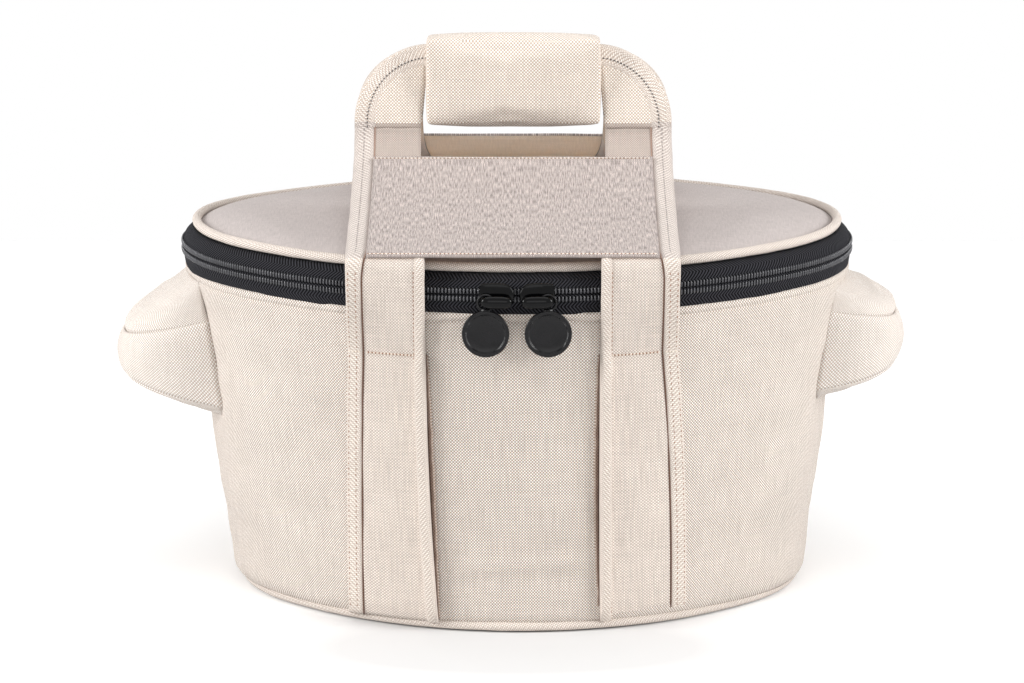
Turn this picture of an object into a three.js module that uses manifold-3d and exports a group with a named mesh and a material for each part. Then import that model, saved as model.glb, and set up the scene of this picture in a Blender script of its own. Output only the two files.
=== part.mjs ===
// Soft oval carrier for a lidded casserole, built as its sewn pieces.
// Millimetres, +Z up, front towards -Y, origin at the centre of the base on the floor.

import * as THREE from 'three';
import { mergeVertices } from 'three/addons/utils/BufferGeometryUtils.js';
import Module from 'manifold-3d';

// Gap left between sewn neighbours
const GAP = 0.3;

// Plan of the rim, outside: an oval of four arcs
const RIM_HALF_WIDTH = 176;
const RIM_HALF_DEPTH = 134;
const END_RADIUS = 104;

// Wall: height, how far it draws in at the foot, and its layers
const WALL_TOP = 173;
const WALL_TAPER = 24;
const CLOTH = 1.5;
const FOAM = 5;
const LINING = 1;

// Base
const BASE_CORD_RADIUS = 2.8;
const BASE_PANEL = 1.6;
const BASE_BOARD = 3;
const BASE_FOAM = 4;

// Zip halves, coils and the cloth hinge behind
const TAPE_WIDTH = 9;
const TAPE = 1;
const COIL_WIDTH = 3.6;
const COIL_DEPTH = 1.8;
const STOP_LENGTH = 5;
const HINGE_WIDTH = 120;

// Lid
const LID_CORD_RADIUS = 3.2;
const LID_FOAM = 5;

// Straps, from the foot to the bar stitch and on to the crease at the rim
const STRAP_INNER = 44;
const STRAP_OUTER = 83;
const STRAP = 2;
const BAR_STITCH_DROP = 21;
const CREASE_STAND = 2;
const CREASE_RISE = 2;

// Handles above the crease
const WEB_RISE = 46;
const WEB_BELLY = 21;
const ARCH_RISE = 42.5;
const ARCH_SPREAD = 20;
const ARCH_CORNER = 39;
const SLOT_HALF_WIDTH = 48;
const TOP_BAR = 8.5;
const PANEL_HALF_WIDTH = 72;
const PANEL = 1.6;
const PANEL_REACH = 0.83;
const PANEL_SETBACK = 4.5;

// Grip pads with their closing strips
const PAD_SIDE_GAP = 2.5;
const PAD_FRONT = 23.5;
const PAD_RISE = 4.5;
const PAD_HEIGHT = 45;
const PAD_CORNER = 6;
const STRIP = 0.8;
const STRIP_SIDE_GAP = 7.5;
const STRIP_HEIGHT = 20;

// Ears for the pot's handles
const EAR_REACH = 34;
const EAR_HALF_WIDTH = 45;
const EAR_CLOTH = 2.5;
const EAR_ROOF_DROP = 2;
const EAR_BAND_DROP = 25;
const EAR_BAND_HEIGHT = 44;
const EAR_TIP_HEIGHT = 20;
const EAR_TIP_DROP = 9;
const EAR_FLOOR_DROP = 5;
const EAR_MOUTH_HALF_WIDTH = 34;
const EAR_MOUTH_HEIGHT = 44;

// Zip sliders
const SLIDER_LENGTH = 17.4;
const SLIDER_HEIGHT = 11.6;
const SLIDER_PLATE = 1.6;
const SLIDER_STAND = 0.5;
const NOSE_GAP = 1;
const BAIL_DROP = 3;
const BAIL_LENGTH = 15.4;
const BAIL_HEIGHT = 5.4;
const BAIL_DEPTH = 3;
const BAIL_LEG_RADIUS = 2.2;

// Zip pulls
const RING_RADIUS = 4.5;
const RING_HOLE = 3.2;
const RING_DEPTH = 2;
const DISC_RADIUS = 11.7;
const DISC_DEPTH = 2.4;
const DISC_RIM = 2.2;
const DISC_DISH = 0.5;
const NECK_WIDTH = 5;
const NECK_OVERLAP = 0.8;

// Steps round the arcs
const END_STEPS = 10;
const FRONT_STEPS = 16;

const wasm = await Module();
wasm.setup();

const carrier = new THREE.Group();
carrier.name = 'casserole_carrier';

// Cloths and metals
const canvas = new THREE.MeshStandardMaterial({ color: 0xd9c9bd, roughness: 0.95, metalness: 0 });
const greyCloth = new THREE.MeshStandardMaterial({ color: 0xc6bab4, roughness: 0.95, metalness: 0 });
const lining = new THREE.MeshStandardMaterial({ color: 0xb9bcc0, roughness: 0.6, metalness: 0 });
const foam = new THREE.MeshStandardMaterial({ color: 0xf0efec, roughness: 1, metalness: 0 });
const board = new THREE.MeshStandardMaterial({ color: 0x3a3a3c, roughness: 0.7, metalness: 0 });
const blackTape = new THREE.MeshStandardMaterial({ color: 0x1d1d20, roughness: 0.9, metalness: 0 });
const blackMetal = new THREE.MeshStandardMaterial({ color: 0x17171a, roughness: 0.35, metalness: 0.8 });

function add(name, geometry, material, parent = carrier) {
  const mesh = new THREE.Mesh(geometry, material);
  mesh.name = name;
  parent.add(mesh);
}

// A closed body from corners and triangles, turned right side out
function solid(positions, index) {
  let volume = 0;
  const a = new THREE.Vector3();
  const b = new THREE.Vector3();
  const c = new THREE.Vector3();
  for (let i = 0; i < index.length; i += 3) {
    a.fromArray(positions, 3 * index[i]);
    b.fromArray(positions, 3 * index[i + 1]);
    c.fromArray(positions, 3 * index[i + 2]);
    volume += a.dot(b.cross(c));
  }
  const geometry = new THREE.BufferGeometry();
  geometry.setAttribute('position', new THREE.Float32BufferAttribute(positions, 3));
  geometry.setIndex(volume < 0 ? [...index].reverse() : index);
  geometry.computeVertexNormals();
  return geometry;
}

// The oval: corners of the four arcs, and the point whose outward normal has a given angle
const END_CENTRE = RIM_HALF_WIDTH - END_RADIUS;
const FRONT_RADIUS = (RIM_HALF_DEPTH ** 2 + END_CENTRE ** 2 - END_RADIUS ** 2)
  / (2 * (RIM_HALF_DEPTH - END_RADIUS));
const FRONT_CENTRE = FRONT_RADIUS - RIM_HALF_DEPTH;
const ARC_SPLIT = Math.atan2(FRONT_CENTRE, END_CENTRE);

function ovalPoint(angle, inset) {
  const c = Math.cos(angle);
  const s = Math.sin(angle);
  const onEnd = Math.abs(s) < Math.sin(ARC_SPLIT);
  const radius = (onEnd ? END_RADIUS : FRONT_RADIUS) - inset;
  const x = onEnd ? Math.sign(c) * END_CENTRE : 0;
  const y = onEnd ? 0 : -Math.sign(s) * FRONT_CENTRE;
  return [x + radius * c, y + radius * s];
}

function arcAngles(from, to, steps) {
  return Array.from({ length: steps }, (_, i) => from + (to - from) * i / steps);
}

const RING = [
  ...arcAngles(-ARC_SPLIT, ARC_SPLIT, END_STEPS),
  ...arcAngles(ARC_SPLIT, Math.PI - ARC_SPLIT, FRONT_STEPS),
  ...arcAngles(Math.PI - ARC_SPLIT, Math.PI + ARC_SPLIT, END_STEPS),
  ...arcAngles(Math.PI + ARC_SPLIT, 2 * Math.PI - ARC_SPLIT, FRONT_STEPS),
];

// Part of the ring between two angles
function arcBetween(from, to) {
  const twice = [...RING, ...RING.map((angle) => angle + 2 * Math.PI)];
  const inside = twice.filter((angle) => angle > from + 0.02 && angle < to - 0.02);
  return [from, ...inside, to];
}

// A section given as inset and height, swept round the oval
function ovalSweep(section, angles, closed) {
  const points = section.map(([inset, z]) => new THREE.Vector2(inset, z));
  if (THREE.ShapeUtils.isClockWise(points)) points.reverse();
  const positions = [];
  for (const angle of angles) {
    for (const point of points) {
      const [x, y] = ovalPoint(angle, point.x);
      positions.push(x, y, point.y);
    }
  }
  const across = points.length;
  const along = angles.length;
  const index = [];
  for (let i = 0; i < (closed ? along : along - 1); i++) {
    const next = (i + 1) % along;
    for (let j = 0; j < across; j++) {
      const side = (j + 1) % across;
      index.push(i * across + j, i * across + side, next * across + side);
      index.push(i * across + j, next * across + side, next * across + j);
    }
  }
  if (!closed) {
    const last = (along - 1) * across;
    for (const [p, q, r] of THREE.ShapeUtils.triangulateShape(points, [])) {
      index.push(p, r, q);
      index.push(last + p, last + q, last + r);
    }
  }
  return solid(positions, index);
}

// A flat oval plate between two heights
function ovalPlate(inset, bottom, top) {
  const outline = RING.map((angle) => new THREE.Vector2(...ovalPoint(angle, inset)));
  const plate = new THREE.ExtrudeGeometry(new THREE.Shape(outline), {
    depth: top - bottom,
    bevelEnabled: false,
  });
  return plate.translate(0, 0, bottom);
}

function circleSection(inset, height, radius) {
  return arcAngles(0, 2 * Math.PI, 8).map((angle) => [
    inset + radius * Math.cos(angle),
    height + radius * Math.sin(angle),
  ]);
}

// A cloth sheet: two faces at given offsets along the normal of a surface
function sheet(surface, uSteps, vSteps, low, high, outward) {
  const positions = [];
  const step = 1e-3;
  for (const offset of [low, high]) {
    for (let i = 0; i <= uSteps; i++) {
      for (let j = 0; j <= vSteps; j++) {
        const u = i / uSteps;
        const v = j / vSteps;
        const alongU = surface(Math.min(1, u + step), v).sub(surface(Math.max(0, u - step), v));
        const alongV = surface(u, Math.min(1, v + step)).sub(surface(u, Math.max(0, v - step)));
        const normal = alongU.cross(alongV).normalize();
        if (normal.dot(outward) < 0) normal.negate();
        const point = surface(u, v).addScaledVector(normal, offset);
        positions.push(point.x, point.y, point.z);
      }
    }
  }
  const row = vSteps + 1;
  const layer = row * (uSteps + 1);
  const index = [];
  const quad = (p, q, r, s) => index.push(p, q, r, p, r, s);
  for (let i = 0; i < uSteps; i++) {
    for (let j = 0; j < vSteps; j++) {
      const p = i * row + j;
      quad(p, p + 1, p + row + 1, p + row);
      quad(layer + p, layer + p + row, layer + p + row + 1, layer + p + 1);
    }
  }
  for (let i = 0; i < uSteps; i++) {
    const p = i * row;
    const q = p + vSteps;
    quad(p, p + row, layer + p + row, layer + p);
    quad(q, layer + q, layer + q + row, q + row);
  }
  for (let j = 0; j < vSteps; j++) {
    const p = j;
    const q = uSteps * row + j;
    quad(p, layer + p, layer + p + 1, p + 1);
    quad(q, q + 1, layer + q + 1, layer + q);
  }
  return solid(positions, index);
}

// Joins and cuts
function toManifold(geometry) {
  const plain = geometry.clone();
  plain.deleteAttribute('normal');
  plain.deleteAttribute('uv');
  const merged = mergeVertices(plain, 1e-4);
  return new wasm.Manifold(new wasm.Mesh({
    numProp: 3,
    vertProperties: new Float32Array(merged.attributes.position.array),
    triVerts: new Uint32Array(merged.index.array),
  }));
}

function fromManifold(body) {
  const mesh = body.getMesh();
  return solid(Array.from(mesh.vertProperties), Array.from(mesh.triVerts));
}

function block(width, depth, height, x, y, z) {
  return new THREE.BoxGeometry(width, depth, height).translate(x, y, z);
}

// Wall: outer cloth, foam and lining, each with a mouth into the two ears
const wallInset = (z) => WALL_TAPER * (1 - z / WALL_TOP);
const BASE_CORD_TOP = 2 * BASE_CORD_RADIUS + GAP;
const WALL_FOOT = BASE_CORD_TOP + GAP;
const EAR_BAND_TOP = WALL_TOP - EAR_BAND_DROP;
const EAR_BAND_FOOT = EAR_BAND_TOP - EAR_BAND_HEIGHT;
const EAR_MOUTH_HEIGHT_MID = EAR_BAND_TOP - EAR_BAND_HEIGHT / 2 + EAR_TIP_DROP;

function wallLayer(depth, thickness) {
  const foot = wallInset(WALL_FOOT) + depth;
  const top = wallInset(WALL_TOP) + depth;
  const section = [
    [foot, WALL_FOOT],
    [top, WALL_TOP],
    [top + thickness, WALL_TOP],
    [foot + thickness, WALL_FOOT],
  ];
  const mouths = block(
    4 * RIM_HALF_WIDTH,
    2 * EAR_MOUTH_HALF_WIDTH,
    EAR_MOUTH_HEIGHT,
    0,
    0,
    EAR_MOUTH_HEIGHT_MID,
  );
  return fromManifold(toManifold(ovalSweep(section, RING, true)).subtract(toManifold(mouths)));
}

const FOAM_DEPTH = CLOTH + GAP;
const LINING_DEPTH = FOAM_DEPTH + FOAM + GAP;
const WALL_DEPTH = LINING_DEPTH + LINING;
add('wall_cloth', wallLayer(0, CLOTH), canvas);
add('wall_foam', wallLayer(FOAM_DEPTH, FOAM), foam);
add('wall_lining', wallLayer(LINING_DEPTH, LINING), lining);

// Base: panel on the floor inside the corded seam, board, foam and lining
const BASE_CORD_INSET = WALL_TAPER + BASE_CORD_RADIUS / 2;
const BASE_INSET = BASE_CORD_INSET + BASE_CORD_RADIUS + GAP;
const BASE_INNER_INSET = WALL_TAPER + WALL_DEPTH + GAP;
const BOARD_FOOT = BASE_PANEL + GAP;
const BASE_FOAM_FOOT = BOARD_FOOT + BASE_BOARD + GAP;
const BASE_LINING_FOOT = BASE_FOAM_FOOT + BASE_FOAM + GAP;
const FLOOR = BASE_LINING_FOOT + LINING;
add('base_panel', ovalPlate(BASE_INSET, 0, BASE_PANEL), canvas);
add('base_board', ovalPlate(BASE_INSET, BOARD_FOOT, BOARD_FOOT + BASE_BOARD), board);
add('base_foam', ovalPlate(BASE_INNER_INSET, BASE_FOAM_FOOT, BASE_FOAM_FOOT + BASE_FOAM), foam);
add('base_lining', ovalPlate(BASE_INNER_INSET, BASE_LINING_FOOT, FLOOR), lining);
const baseCord = circleSection(BASE_CORD_INSET, BASE_CORD_RADIUS + GAP, BASE_CORD_RADIUS);
add('base_piping', ovalSweep(baseCord, RING, true), canvas);

// Zip: two tapes with a coil each, open behind where the cloth hinge stands
const ZIP_FOOT = WALL_TOP + GAP;
const ZIP_MIDDLE = ZIP_FOOT + TAPE_WIDTH + GAP / 2;
const ZIP_TOP = ZIP_FOOT + 2 * TAPE_WIDTH + GAP;
const HINGE_ANGLE = Math.asin(HINGE_WIDTH / 2 / FRONT_RADIUS);
const REAR = Math.PI / 2;
const TAPE_ANGLE = HINGE_ANGLE + 2 * GAP / FRONT_RADIUS;
const STOP_ANGLE = TAPE_ANGLE + STOP_LENGTH / FRONT_RADIUS;
const COIL_ANGLE = STOP_ANGLE + 2 * GAP / FRONT_RADIUS;
const COIL_OUT = GAP + COIL_DEPTH;
const tapeArc = arcBetween(REAR + TAPE_ANGLE, REAR + 2 * Math.PI - TAPE_ANGLE);
const coilArc = arcBetween(REAR + COIL_ANGLE, REAR + 2 * Math.PI - COIL_ANGLE);
const hingeArc = arcBetween(REAR - HINGE_ANGLE, REAR + HINGE_ANGLE);

function bandSection(out, inset, foot, top) {
  return [[-out, foot], [-out, top], [inset, top], [inset, foot]];
}

function coilSection(foot, top) {
  const flank = COIL_WIDTH / 4;
  return [
    [-GAP, foot],
    [-COIL_OUT + flank, foot],
    [-COIL_OUT, foot + flank],
    [-COIL_OUT, top - flank],
    [-COIL_OUT + flank, top],
    [-GAP, top],
  ];
}

const LOWER_EDGE = ZIP_MIDDLE - GAP / 2;
const UPPER_EDGE = ZIP_MIDDLE + GAP / 2;
add('lower_zip_tape', ovalSweep(bandSection(0, TAPE, ZIP_FOOT, LOWER_EDGE), tapeArc, false), blackTape);
add('upper_zip_tape', ovalSweep(bandSection(0, TAPE, UPPER_EDGE, ZIP_TOP), tapeArc, false), blackTape);
add('lower_zip_coil', ovalSweep(coilSection(LOWER_EDGE - COIL_WIDTH, LOWER_EDGE), coilArc, false), board);
add('upper_zip_coil', ovalSweep(coilSection(UPPER_EDGE, UPPER_EDGE + COIL_WIDTH), coilArc, false), board);
add('hinge_strip', ovalSweep(bandSection(0, CLOTH, ZIP_FOOT, ZIP_TOP), hingeArc, false), canvas);

// Zip end stops, clamped on the lower half at each end of the coil
const stopSection = bandSection(COIL_OUT, -GAP, LOWER_EDGE - COIL_WIDTH, LOWER_EDGE);
const leftStopArc = [REAR + TAPE_ANGLE, REAR + STOP_ANGLE];
const rightStopArc = [REAR - STOP_ANGLE, REAR - TAPE_ANGLE];
add('left_zip_stop', ovalSweep(stopSection, leftStopArc, false), blackMetal);
add('right_zip_stop', ovalSweep(stopSection, rightStopArc, false), blackMetal);

// Lid: corded seam on the zip, top panel recessed inside it, foam and lining below
const LID_CORD_INSET = LID_CORD_RADIUS - CLOTH;
const LID_CORD_HEIGHT = ZIP_TOP + GAP + LID_CORD_RADIUS;
const LID_CORD_TOP = LID_CORD_HEIGHT + LID_CORD_RADIUS;
const LID_PANEL_INSET = LID_CORD_INSET + LID_CORD_RADIUS + GAP;
const LID_INNER_INSET = CLOTH + GAP;
const LID_FOAM_FOOT = ZIP_TOP - LID_FOAM;
const LID_PANEL_FOOT = ZIP_TOP + GAP;
const LID_LINING_FOOT = LID_FOAM_FOOT - GAP - LINING;
const lidCord = circleSection(LID_CORD_INSET, LID_CORD_HEIGHT, LID_CORD_RADIUS);
add('lid_piping', ovalSweep(lidCord, RING, true), canvas);
add('lid_panel', ovalPlate(LID_PANEL_INSET, LID_PANEL_FOOT, LID_PANEL_FOOT + CLOTH), greyCloth);
add('lid_foam', ovalPlate(LID_INNER_INSET, LID_FOAM_FOOT, ZIP_TOP), foam);
add('lid_lining', ovalPlate(LID_INNER_INSET, LID_LINING_FOOT, LID_FOAM_FOOT - GAP), lining);

// Straps, webs, panel, arch and pad of one handle; side is -1 in front and 1 behind
const BAR_STITCH = WALL_TOP - BAR_STITCH_DROP;
const STRAP_FOOT = WALL_FOOT;
const CREASE_OUT = RIM_HALF_DEPTH + CREASE_STAND;
const CREASE_HEIGHT = LID_CORD_TOP + CREASE_RISE;
const CREASE_CUT = 0.75 * STRAP;
const STRAP_LOW = -0.75 * STRAP;
const STRAP_HIGH = STRAP + STRAP_LOW;
const WEB_TOP = CREASE_HEIGHT + WEB_RISE;
const ARCH_FOOT = WEB_TOP + GAP;
const ARCH_TOP = WEB_TOP + ARCH_RISE;
const SLOT_TOP = ARCH_TOP - TOP_BAR;
const PAD_TOP = ARCH_TOP + PAD_RISE;
const PAD_FOOT = PAD_TOP - PAD_HEIGHT;
const PAD_BACK = STRIP + 1.5 * GAP;
const PAD_HALF_LENGTH = SLOT_HALF_WIDTH - PAD_SIDE_GAP;
const STRIP_HALF_LENGTH = PAD_HALF_LENGTH - STRIP_SIDE_GAP;

// How far the wall stands out from the middle at a given place across and height
function wallOut(x, z) {
  return Math.sqrt((FRONT_RADIUS - wallInset(z)) ** 2 - x ** 2) - FRONT_CENTRE;
}

// Side line of the web, drawn in to upright at the arch
const webLine = new THREE.QuadraticBezierCurve(
  new THREE.Vector2(CREASE_OUT, CREASE_HEIGHT),
  new THREE.Vector2(ARCH_SPREAD, WEB_TOP - WEB_BELLY),
  new THREE.Vector2(ARCH_SPREAD, WEB_TOP),
);
const CREASE_SHARE = CREASE_CUT / webLine.getLength();
const PANEL_SHARE = PANEL_SETBACK / webLine.getLength();

function mix(from, to, share) {
  return from + (to - from) * share;
}

function sewnStrap(side, hand) {
  const surface = (u, v) => {
    const x = mix(STRAP_INNER, STRAP_OUTER, u);
    const z = mix(STRAP_FOOT, BAR_STITCH - GAP, v);
    return new THREE.Vector3(hand * x, side * (wallOut(x, z) + GAP), z);
  };
  return sheet(surface, 4, 6, 0, STRAP, new THREE.Vector3(0, side, 0));
}

function freeStrap(side, hand) {
  const surface = (u, v) => {
    const x = mix(STRAP_INNER, STRAP_OUTER, u);
    const z = mix(BAR_STITCH, CREASE_HEIGHT - CREASE_CUT, v);
    const start = wallOut(x, BAR_STITCH) + GAP - STRAP_LOW;
    const out = mix(start, CREASE_OUT, Math.sin(v * Math.PI / 2));
    return new THREE.Vector3(hand * x, side * out, z);
  };
  return sheet(surface, 4, 6, STRAP_LOW, STRAP_HIGH, new THREE.Vector3(0, side, 0));
}

function web(side, hand) {
  const surface = (u, v) => {
    const line = webLine.getPointAt(mix(CREASE_SHARE, 1, v));
    const inner = mix(STRAP_INNER, SLOT_HALF_WIDTH, v);
    return new THREE.Vector3(hand * mix(inner, STRAP_OUTER, u), side * line.x, line.y);
  };
  return sheet(surface, 2, 10, STRAP_LOW, STRAP_HIGH, new THREE.Vector3(0, side, 1));
}

function crossPanel(side) {
  const low = STRAP_HIGH + GAP;
  const surface = (u, v) => {
    const line = webLine.getPointAt(mix(PANEL_SHARE, PANEL_REACH, v));
    return new THREE.Vector3(mix(-PANEL_HALF_WIDTH, PANEL_HALF_WIDTH, u), side * line.x, line.y);
  };
  return sheet(surface, 4, 10, low, low + PANEL, new THREE.Vector3(0, side, 1));
}

// An outline across and up, made as thick as the step between two depths
function upright(shape, from, to) {
  const plate = new THREE.ExtrudeGeometry(shape, {
    depth: Math.abs(to - from),
    bevelEnabled: false,
    curveSegments: 8,
  });
  return plate.rotateX(Math.PI / 2).translate(0, Math.max(from, to), 0);
}

function arch(side) {
  const corner = ARCH_CORNER;
  const shape = new THREE.Shape();
  shape.moveTo(STRAP_OUTER, ARCH_FOOT);
  shape.lineTo(STRAP_OUTER, ARCH_TOP - corner);
  shape.absarc(STRAP_OUTER - corner, ARCH_TOP - corner, corner, 0, Math.PI / 2, false);
  shape.absarc(corner - STRAP_OUTER, ARCH_TOP - corner, corner, Math.PI / 2, Math.PI, false);
  shape.lineTo(-STRAP_OUTER, ARCH_FOOT);
  shape.lineTo(-SLOT_HALF_WIDTH, ARCH_FOOT);
  shape.lineTo(-SLOT_HALF_WIDTH, SLOT_TOP);
  shape.lineTo(SLOT_HALF_WIDTH, SLOT_TOP);
  shape.lineTo(SLOT_HALF_WIDTH, ARCH_FOOT);
  shape.closePath();
  return upright(shape, side * (ARCH_SPREAD + STRAP_LOW), side * (ARCH_SPREAD + STRAP_HIGH));
}

// Rounded pad section, out and up, with a slot for the top bar
function gripPad(side) {
  const corner = PAD_CORNER;
  const shape = new THREE.Shape();
  shape.moveTo(PAD_BACK, PAD_FOOT);
  shape.lineTo(PAD_FRONT - corner, PAD_FOOT);
  shape.absarc(PAD_FRONT - corner, PAD_FOOT + corner, corner, -Math.PI / 2, 0, false);
  shape.lineTo(PAD_FRONT, PAD_TOP - corner);
  shape.absarc(PAD_FRONT - corner, PAD_TOP - corner, corner, 0, Math.PI / 2, false);
  shape.lineTo(PAD_BACK, PAD_TOP);
  shape.closePath();
  const slot = new THREE.Path();
  const inner = ARCH_SPREAD + STRAP_LOW - GAP;
  const outer = ARCH_SPREAD + STRAP_HIGH + GAP;
  slot.moveTo(inner, SLOT_TOP - GAP);
  slot.lineTo(inner, ARCH_TOP + GAP);
  slot.lineTo(outer, ARCH_TOP + GAP);
  slot.lineTo(outer, SLOT_TOP - GAP);
  slot.closePath();
  shape.holes.push(slot);
  const pad = new THREE.ExtrudeGeometry(shape, {
    depth: 2 * PAD_HALF_LENGTH,
    bevelEnabled: false,
    curveSegments: 4,
  });
  pad.translate(0, 0, -PAD_HALF_LENGTH);
  const along = new THREE.Vector3(side, 0, 0);
  const out = new THREE.Vector3(0, side, 0);
  const up = new THREE.Vector3(0, 0, 1);
  return pad.applyMatrix4(new THREE.Matrix4().makeBasis(out, up, along));
}

function closingStrip(side) {
  const middle = side * (GAP / 2 + STRIP / 2);
  return block(2 * STRIP_HALF_LENGTH, STRIP, STRIP_HEIGHT, 0, middle, PAD_FOOT + PAD_HEIGHT / 2);
}

for (const [face, side] of [['front', -1], ['rear', 1]]) {
  for (const [edge, hand] of [['left', -1], ['right', 1]]) {
    add(`${face}_${edge}_strap`, sewnStrap(side, hand), canvas);
    add(`${face}_${edge}_strap_bridge`, freeStrap(side, hand), canvas);
    add(`${face}_${edge}_web`, web(side, hand), canvas);
  }
  add(`${face}_cross_panel`, crossPanel(side), greyCloth);
  add(`${face}_arch`, arch(side), canvas);
  add(`${face}_grip_pad`, gripPad(side), canvas);
  add(`${face}_${side < 0 ? 'hook' : 'loop'}_strip`, closingStrip(side), blackTape);
}

// Ears: a band round the pocket, a roof up to the rim and a floor back to the wall
const EAR_TIP = RIM_HALF_WIDTH + EAR_REACH;
const EAR_ROOF_TOP = WALL_TOP - EAR_ROOF_DROP;
const EAR_FLOOR_FOOT = EAR_BAND_FOOT - EAR_FLOOR_DROP;
const EAR_LAP = 0.8 * EAR_CLOTH + GAP;
const EAR_ROUND = 0.8;

// How far the wall's end stands out at a given place in depth and height
function wallEnd(y, z) {
  return END_CENTRE + Math.sqrt((END_RADIUS - wallInset(z)) ** 2 - y ** 2);
}

// Place on the band, from front to rear and from foot to top
function earBand(hand, u, v, rise) {
  const turn = (u - 0.5) * Math.PI;
  const reach = Math.cos(turn) ** EAR_ROUND;
  const y = EAR_HALF_WIDTH * Math.sign(turn) * Math.abs(Math.sin(turn)) ** EAR_ROUND;
  const tipTop = EAR_BAND_TOP - EAR_TIP_DROP;
  const top = mix(EAR_BAND_TOP, tipTop, reach);
  const foot = mix(EAR_BAND_FOOT, tipTop - EAR_TIP_HEIGHT, reach);
  const z = mix(foot, top, v);
  const start = wallEnd(EAR_HALF_WIDTH - EAR_CLOTH, z) + GAP;
  const bulge = EAR_CLOTH * Math.sin(v * Math.PI) * reach;
  const x = mix(start, EAR_TIP - EAR_CLOTH, reach) + bulge;
  return new THREE.Vector3(hand * x, y, z + rise);
}

// Place on the roof or the floor, from the band back to the wall
function earSlope(hand, u, w, bandEdge, rise, wallHeight) {
  const turn = (u - 0.5) * Math.PI;
  const from = earBand(hand, u, bandEdge, rise);
  const y = 0.92 * EAR_HALF_WIDTH * Math.sin(turn);
  const stand = 2 * GAP + EAR_CLOTH * Math.cos(turn);
  const inner = Math.abs(y) - EAR_CLOTH * Math.abs(Math.sin(turn));
  const to = new THREE.Vector3(hand * (wallEnd(inner, wallHeight) + stand), y, wallHeight);
  const crown = Math.sign(rise) * 1.5 * EAR_CLOTH * Math.sin(w * Math.PI) * Math.cos(turn);
  const place = from.lerp(to, w);
  place.z += crown;
  return place;
}

for (const [name, hand] of [['left', -1], ['right', 1]]) {
  const out = new THREE.Vector3(hand, 0, 0);
  const up = new THREE.Vector3(0.5 * hand, 0, 1);
  const down = new THREE.Vector3(0.5 * hand, 0, -1);
  const band = (u, v) => earBand(hand, u, v, 0);
  const roof = (u, w) => earSlope(hand, u, w, 1, EAR_LAP, EAR_ROOF_TOP);
  const floor = (u, w) => earSlope(hand, u, w, 0, -EAR_LAP, EAR_FLOOR_FOOT);
  add(`${name}_ear_band`, sheet(band, 14, 3, -EAR_CLOTH, 0, out), canvas);
  add(`${name}_ear_roof`, sheet(roof, 14, 4, -EAR_CLOTH, 0, up), canvas);
  add(`${name}_ear_floor`, sheet(floor, 14, 3, -EAR_CLOTH, 0, down), canvas);
}

// Sliders: a nosed plate in front of the coils with a bail for the pull, drawn at the middle of the front
const PLATE_BACK = COIL_OUT + SLIDER_STAND;
const PLATE_FRONT = PLATE_BACK + SLIDER_PLATE;
const RING_ROOM = RING_DEPTH + 2 * GAP;
const BAIL_HEIGHT_MIDDLE = ZIP_MIDDLE - BAIL_DROP;
const SLIDER_ANGLE = (NOSE_GAP + SLIDER_LENGTH / 2) / FRONT_RADIUS;
const FRONT_FACE = -RIM_HALF_DEPTH;

function slider(hand) {
  const half = SLIDER_LENGTH / 2;
  const tall = SLIDER_HEIGHT / 2;
  const shape = new THREE.Shape();
  shape.moveTo(hand * half, ZIP_MIDDLE - 0.8 * tall);
  shape.lineTo(hand * half, ZIP_MIDDLE + 0.8 * tall);
  shape.lineTo(hand * 0.8 * half, ZIP_MIDDLE + tall);
  shape.lineTo(-hand * 0.3 * half, ZIP_MIDDLE + tall);
  shape.quadraticCurveTo(-hand * 0.8 * half, ZIP_MIDDLE + 0.8 * tall, -hand * half, ZIP_MIDDLE);
  shape.quadraticCurveTo(-hand * 0.8 * half, ZIP_MIDDLE - 0.8 * tall, -hand * 0.3 * half, ZIP_MIDDLE - tall);
  shape.lineTo(hand * 0.8 * half, ZIP_MIDDLE - tall);
  shape.closePath();
  let body = toManifold(upright(shape, FRONT_FACE - PLATE_FRONT, FRONT_FACE - PLATE_BACK));
  const legMiddle = BAIL_LENGTH / 2 - BAIL_LEG_RADIUS;
  const legDepth = RING_ROOM + BAIL_DEPTH / 2 + SLIDER_PLATE / 2;
  const legPlace = FRONT_FACE - PLATE_FRONT + SLIDER_PLATE / 2 - legDepth / 2;
  for (const end of [-1, 1]) {
    const leg = new THREE.CylinderGeometry(BAIL_LEG_RADIUS, BAIL_LEG_RADIUS, legDepth, 16);
    leg.translate(end * legMiddle, legPlace, BAIL_HEIGHT_MIDDLE);
    body = body.add(toManifold(leg));
  }
  const bar = new THREE.CylinderGeometry(0.5, 0.5, BAIL_LENGTH, 16);
  bar.rotateZ(Math.PI / 2).scale(1, BAIL_DEPTH, BAIL_HEIGHT);
  bar.translate(0, FRONT_FACE - PLATE_FRONT - RING_ROOM - BAIL_DEPTH / 2, BAIL_HEIGHT_MIDDLE);
  return fromManifold(body.add(toManifold(bar)));
}

// Pulls: a dished disc with a raised rim under a ring that hangs on the outer leg of the bail
const RING_DROP = RING_HOLE - BAIL_LEG_RADIUS - GAP;
const DISC_DROP = RING_RADIUS + DISC_RADIUS - NECK_OVERLAP;

function roundPlate(radius, depth, middle, z, steps) {
  const plate = new THREE.CylinderGeometry(radius, radius, depth, steps);
  return toManifold(plate.translate(0, middle, z));
}

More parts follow.
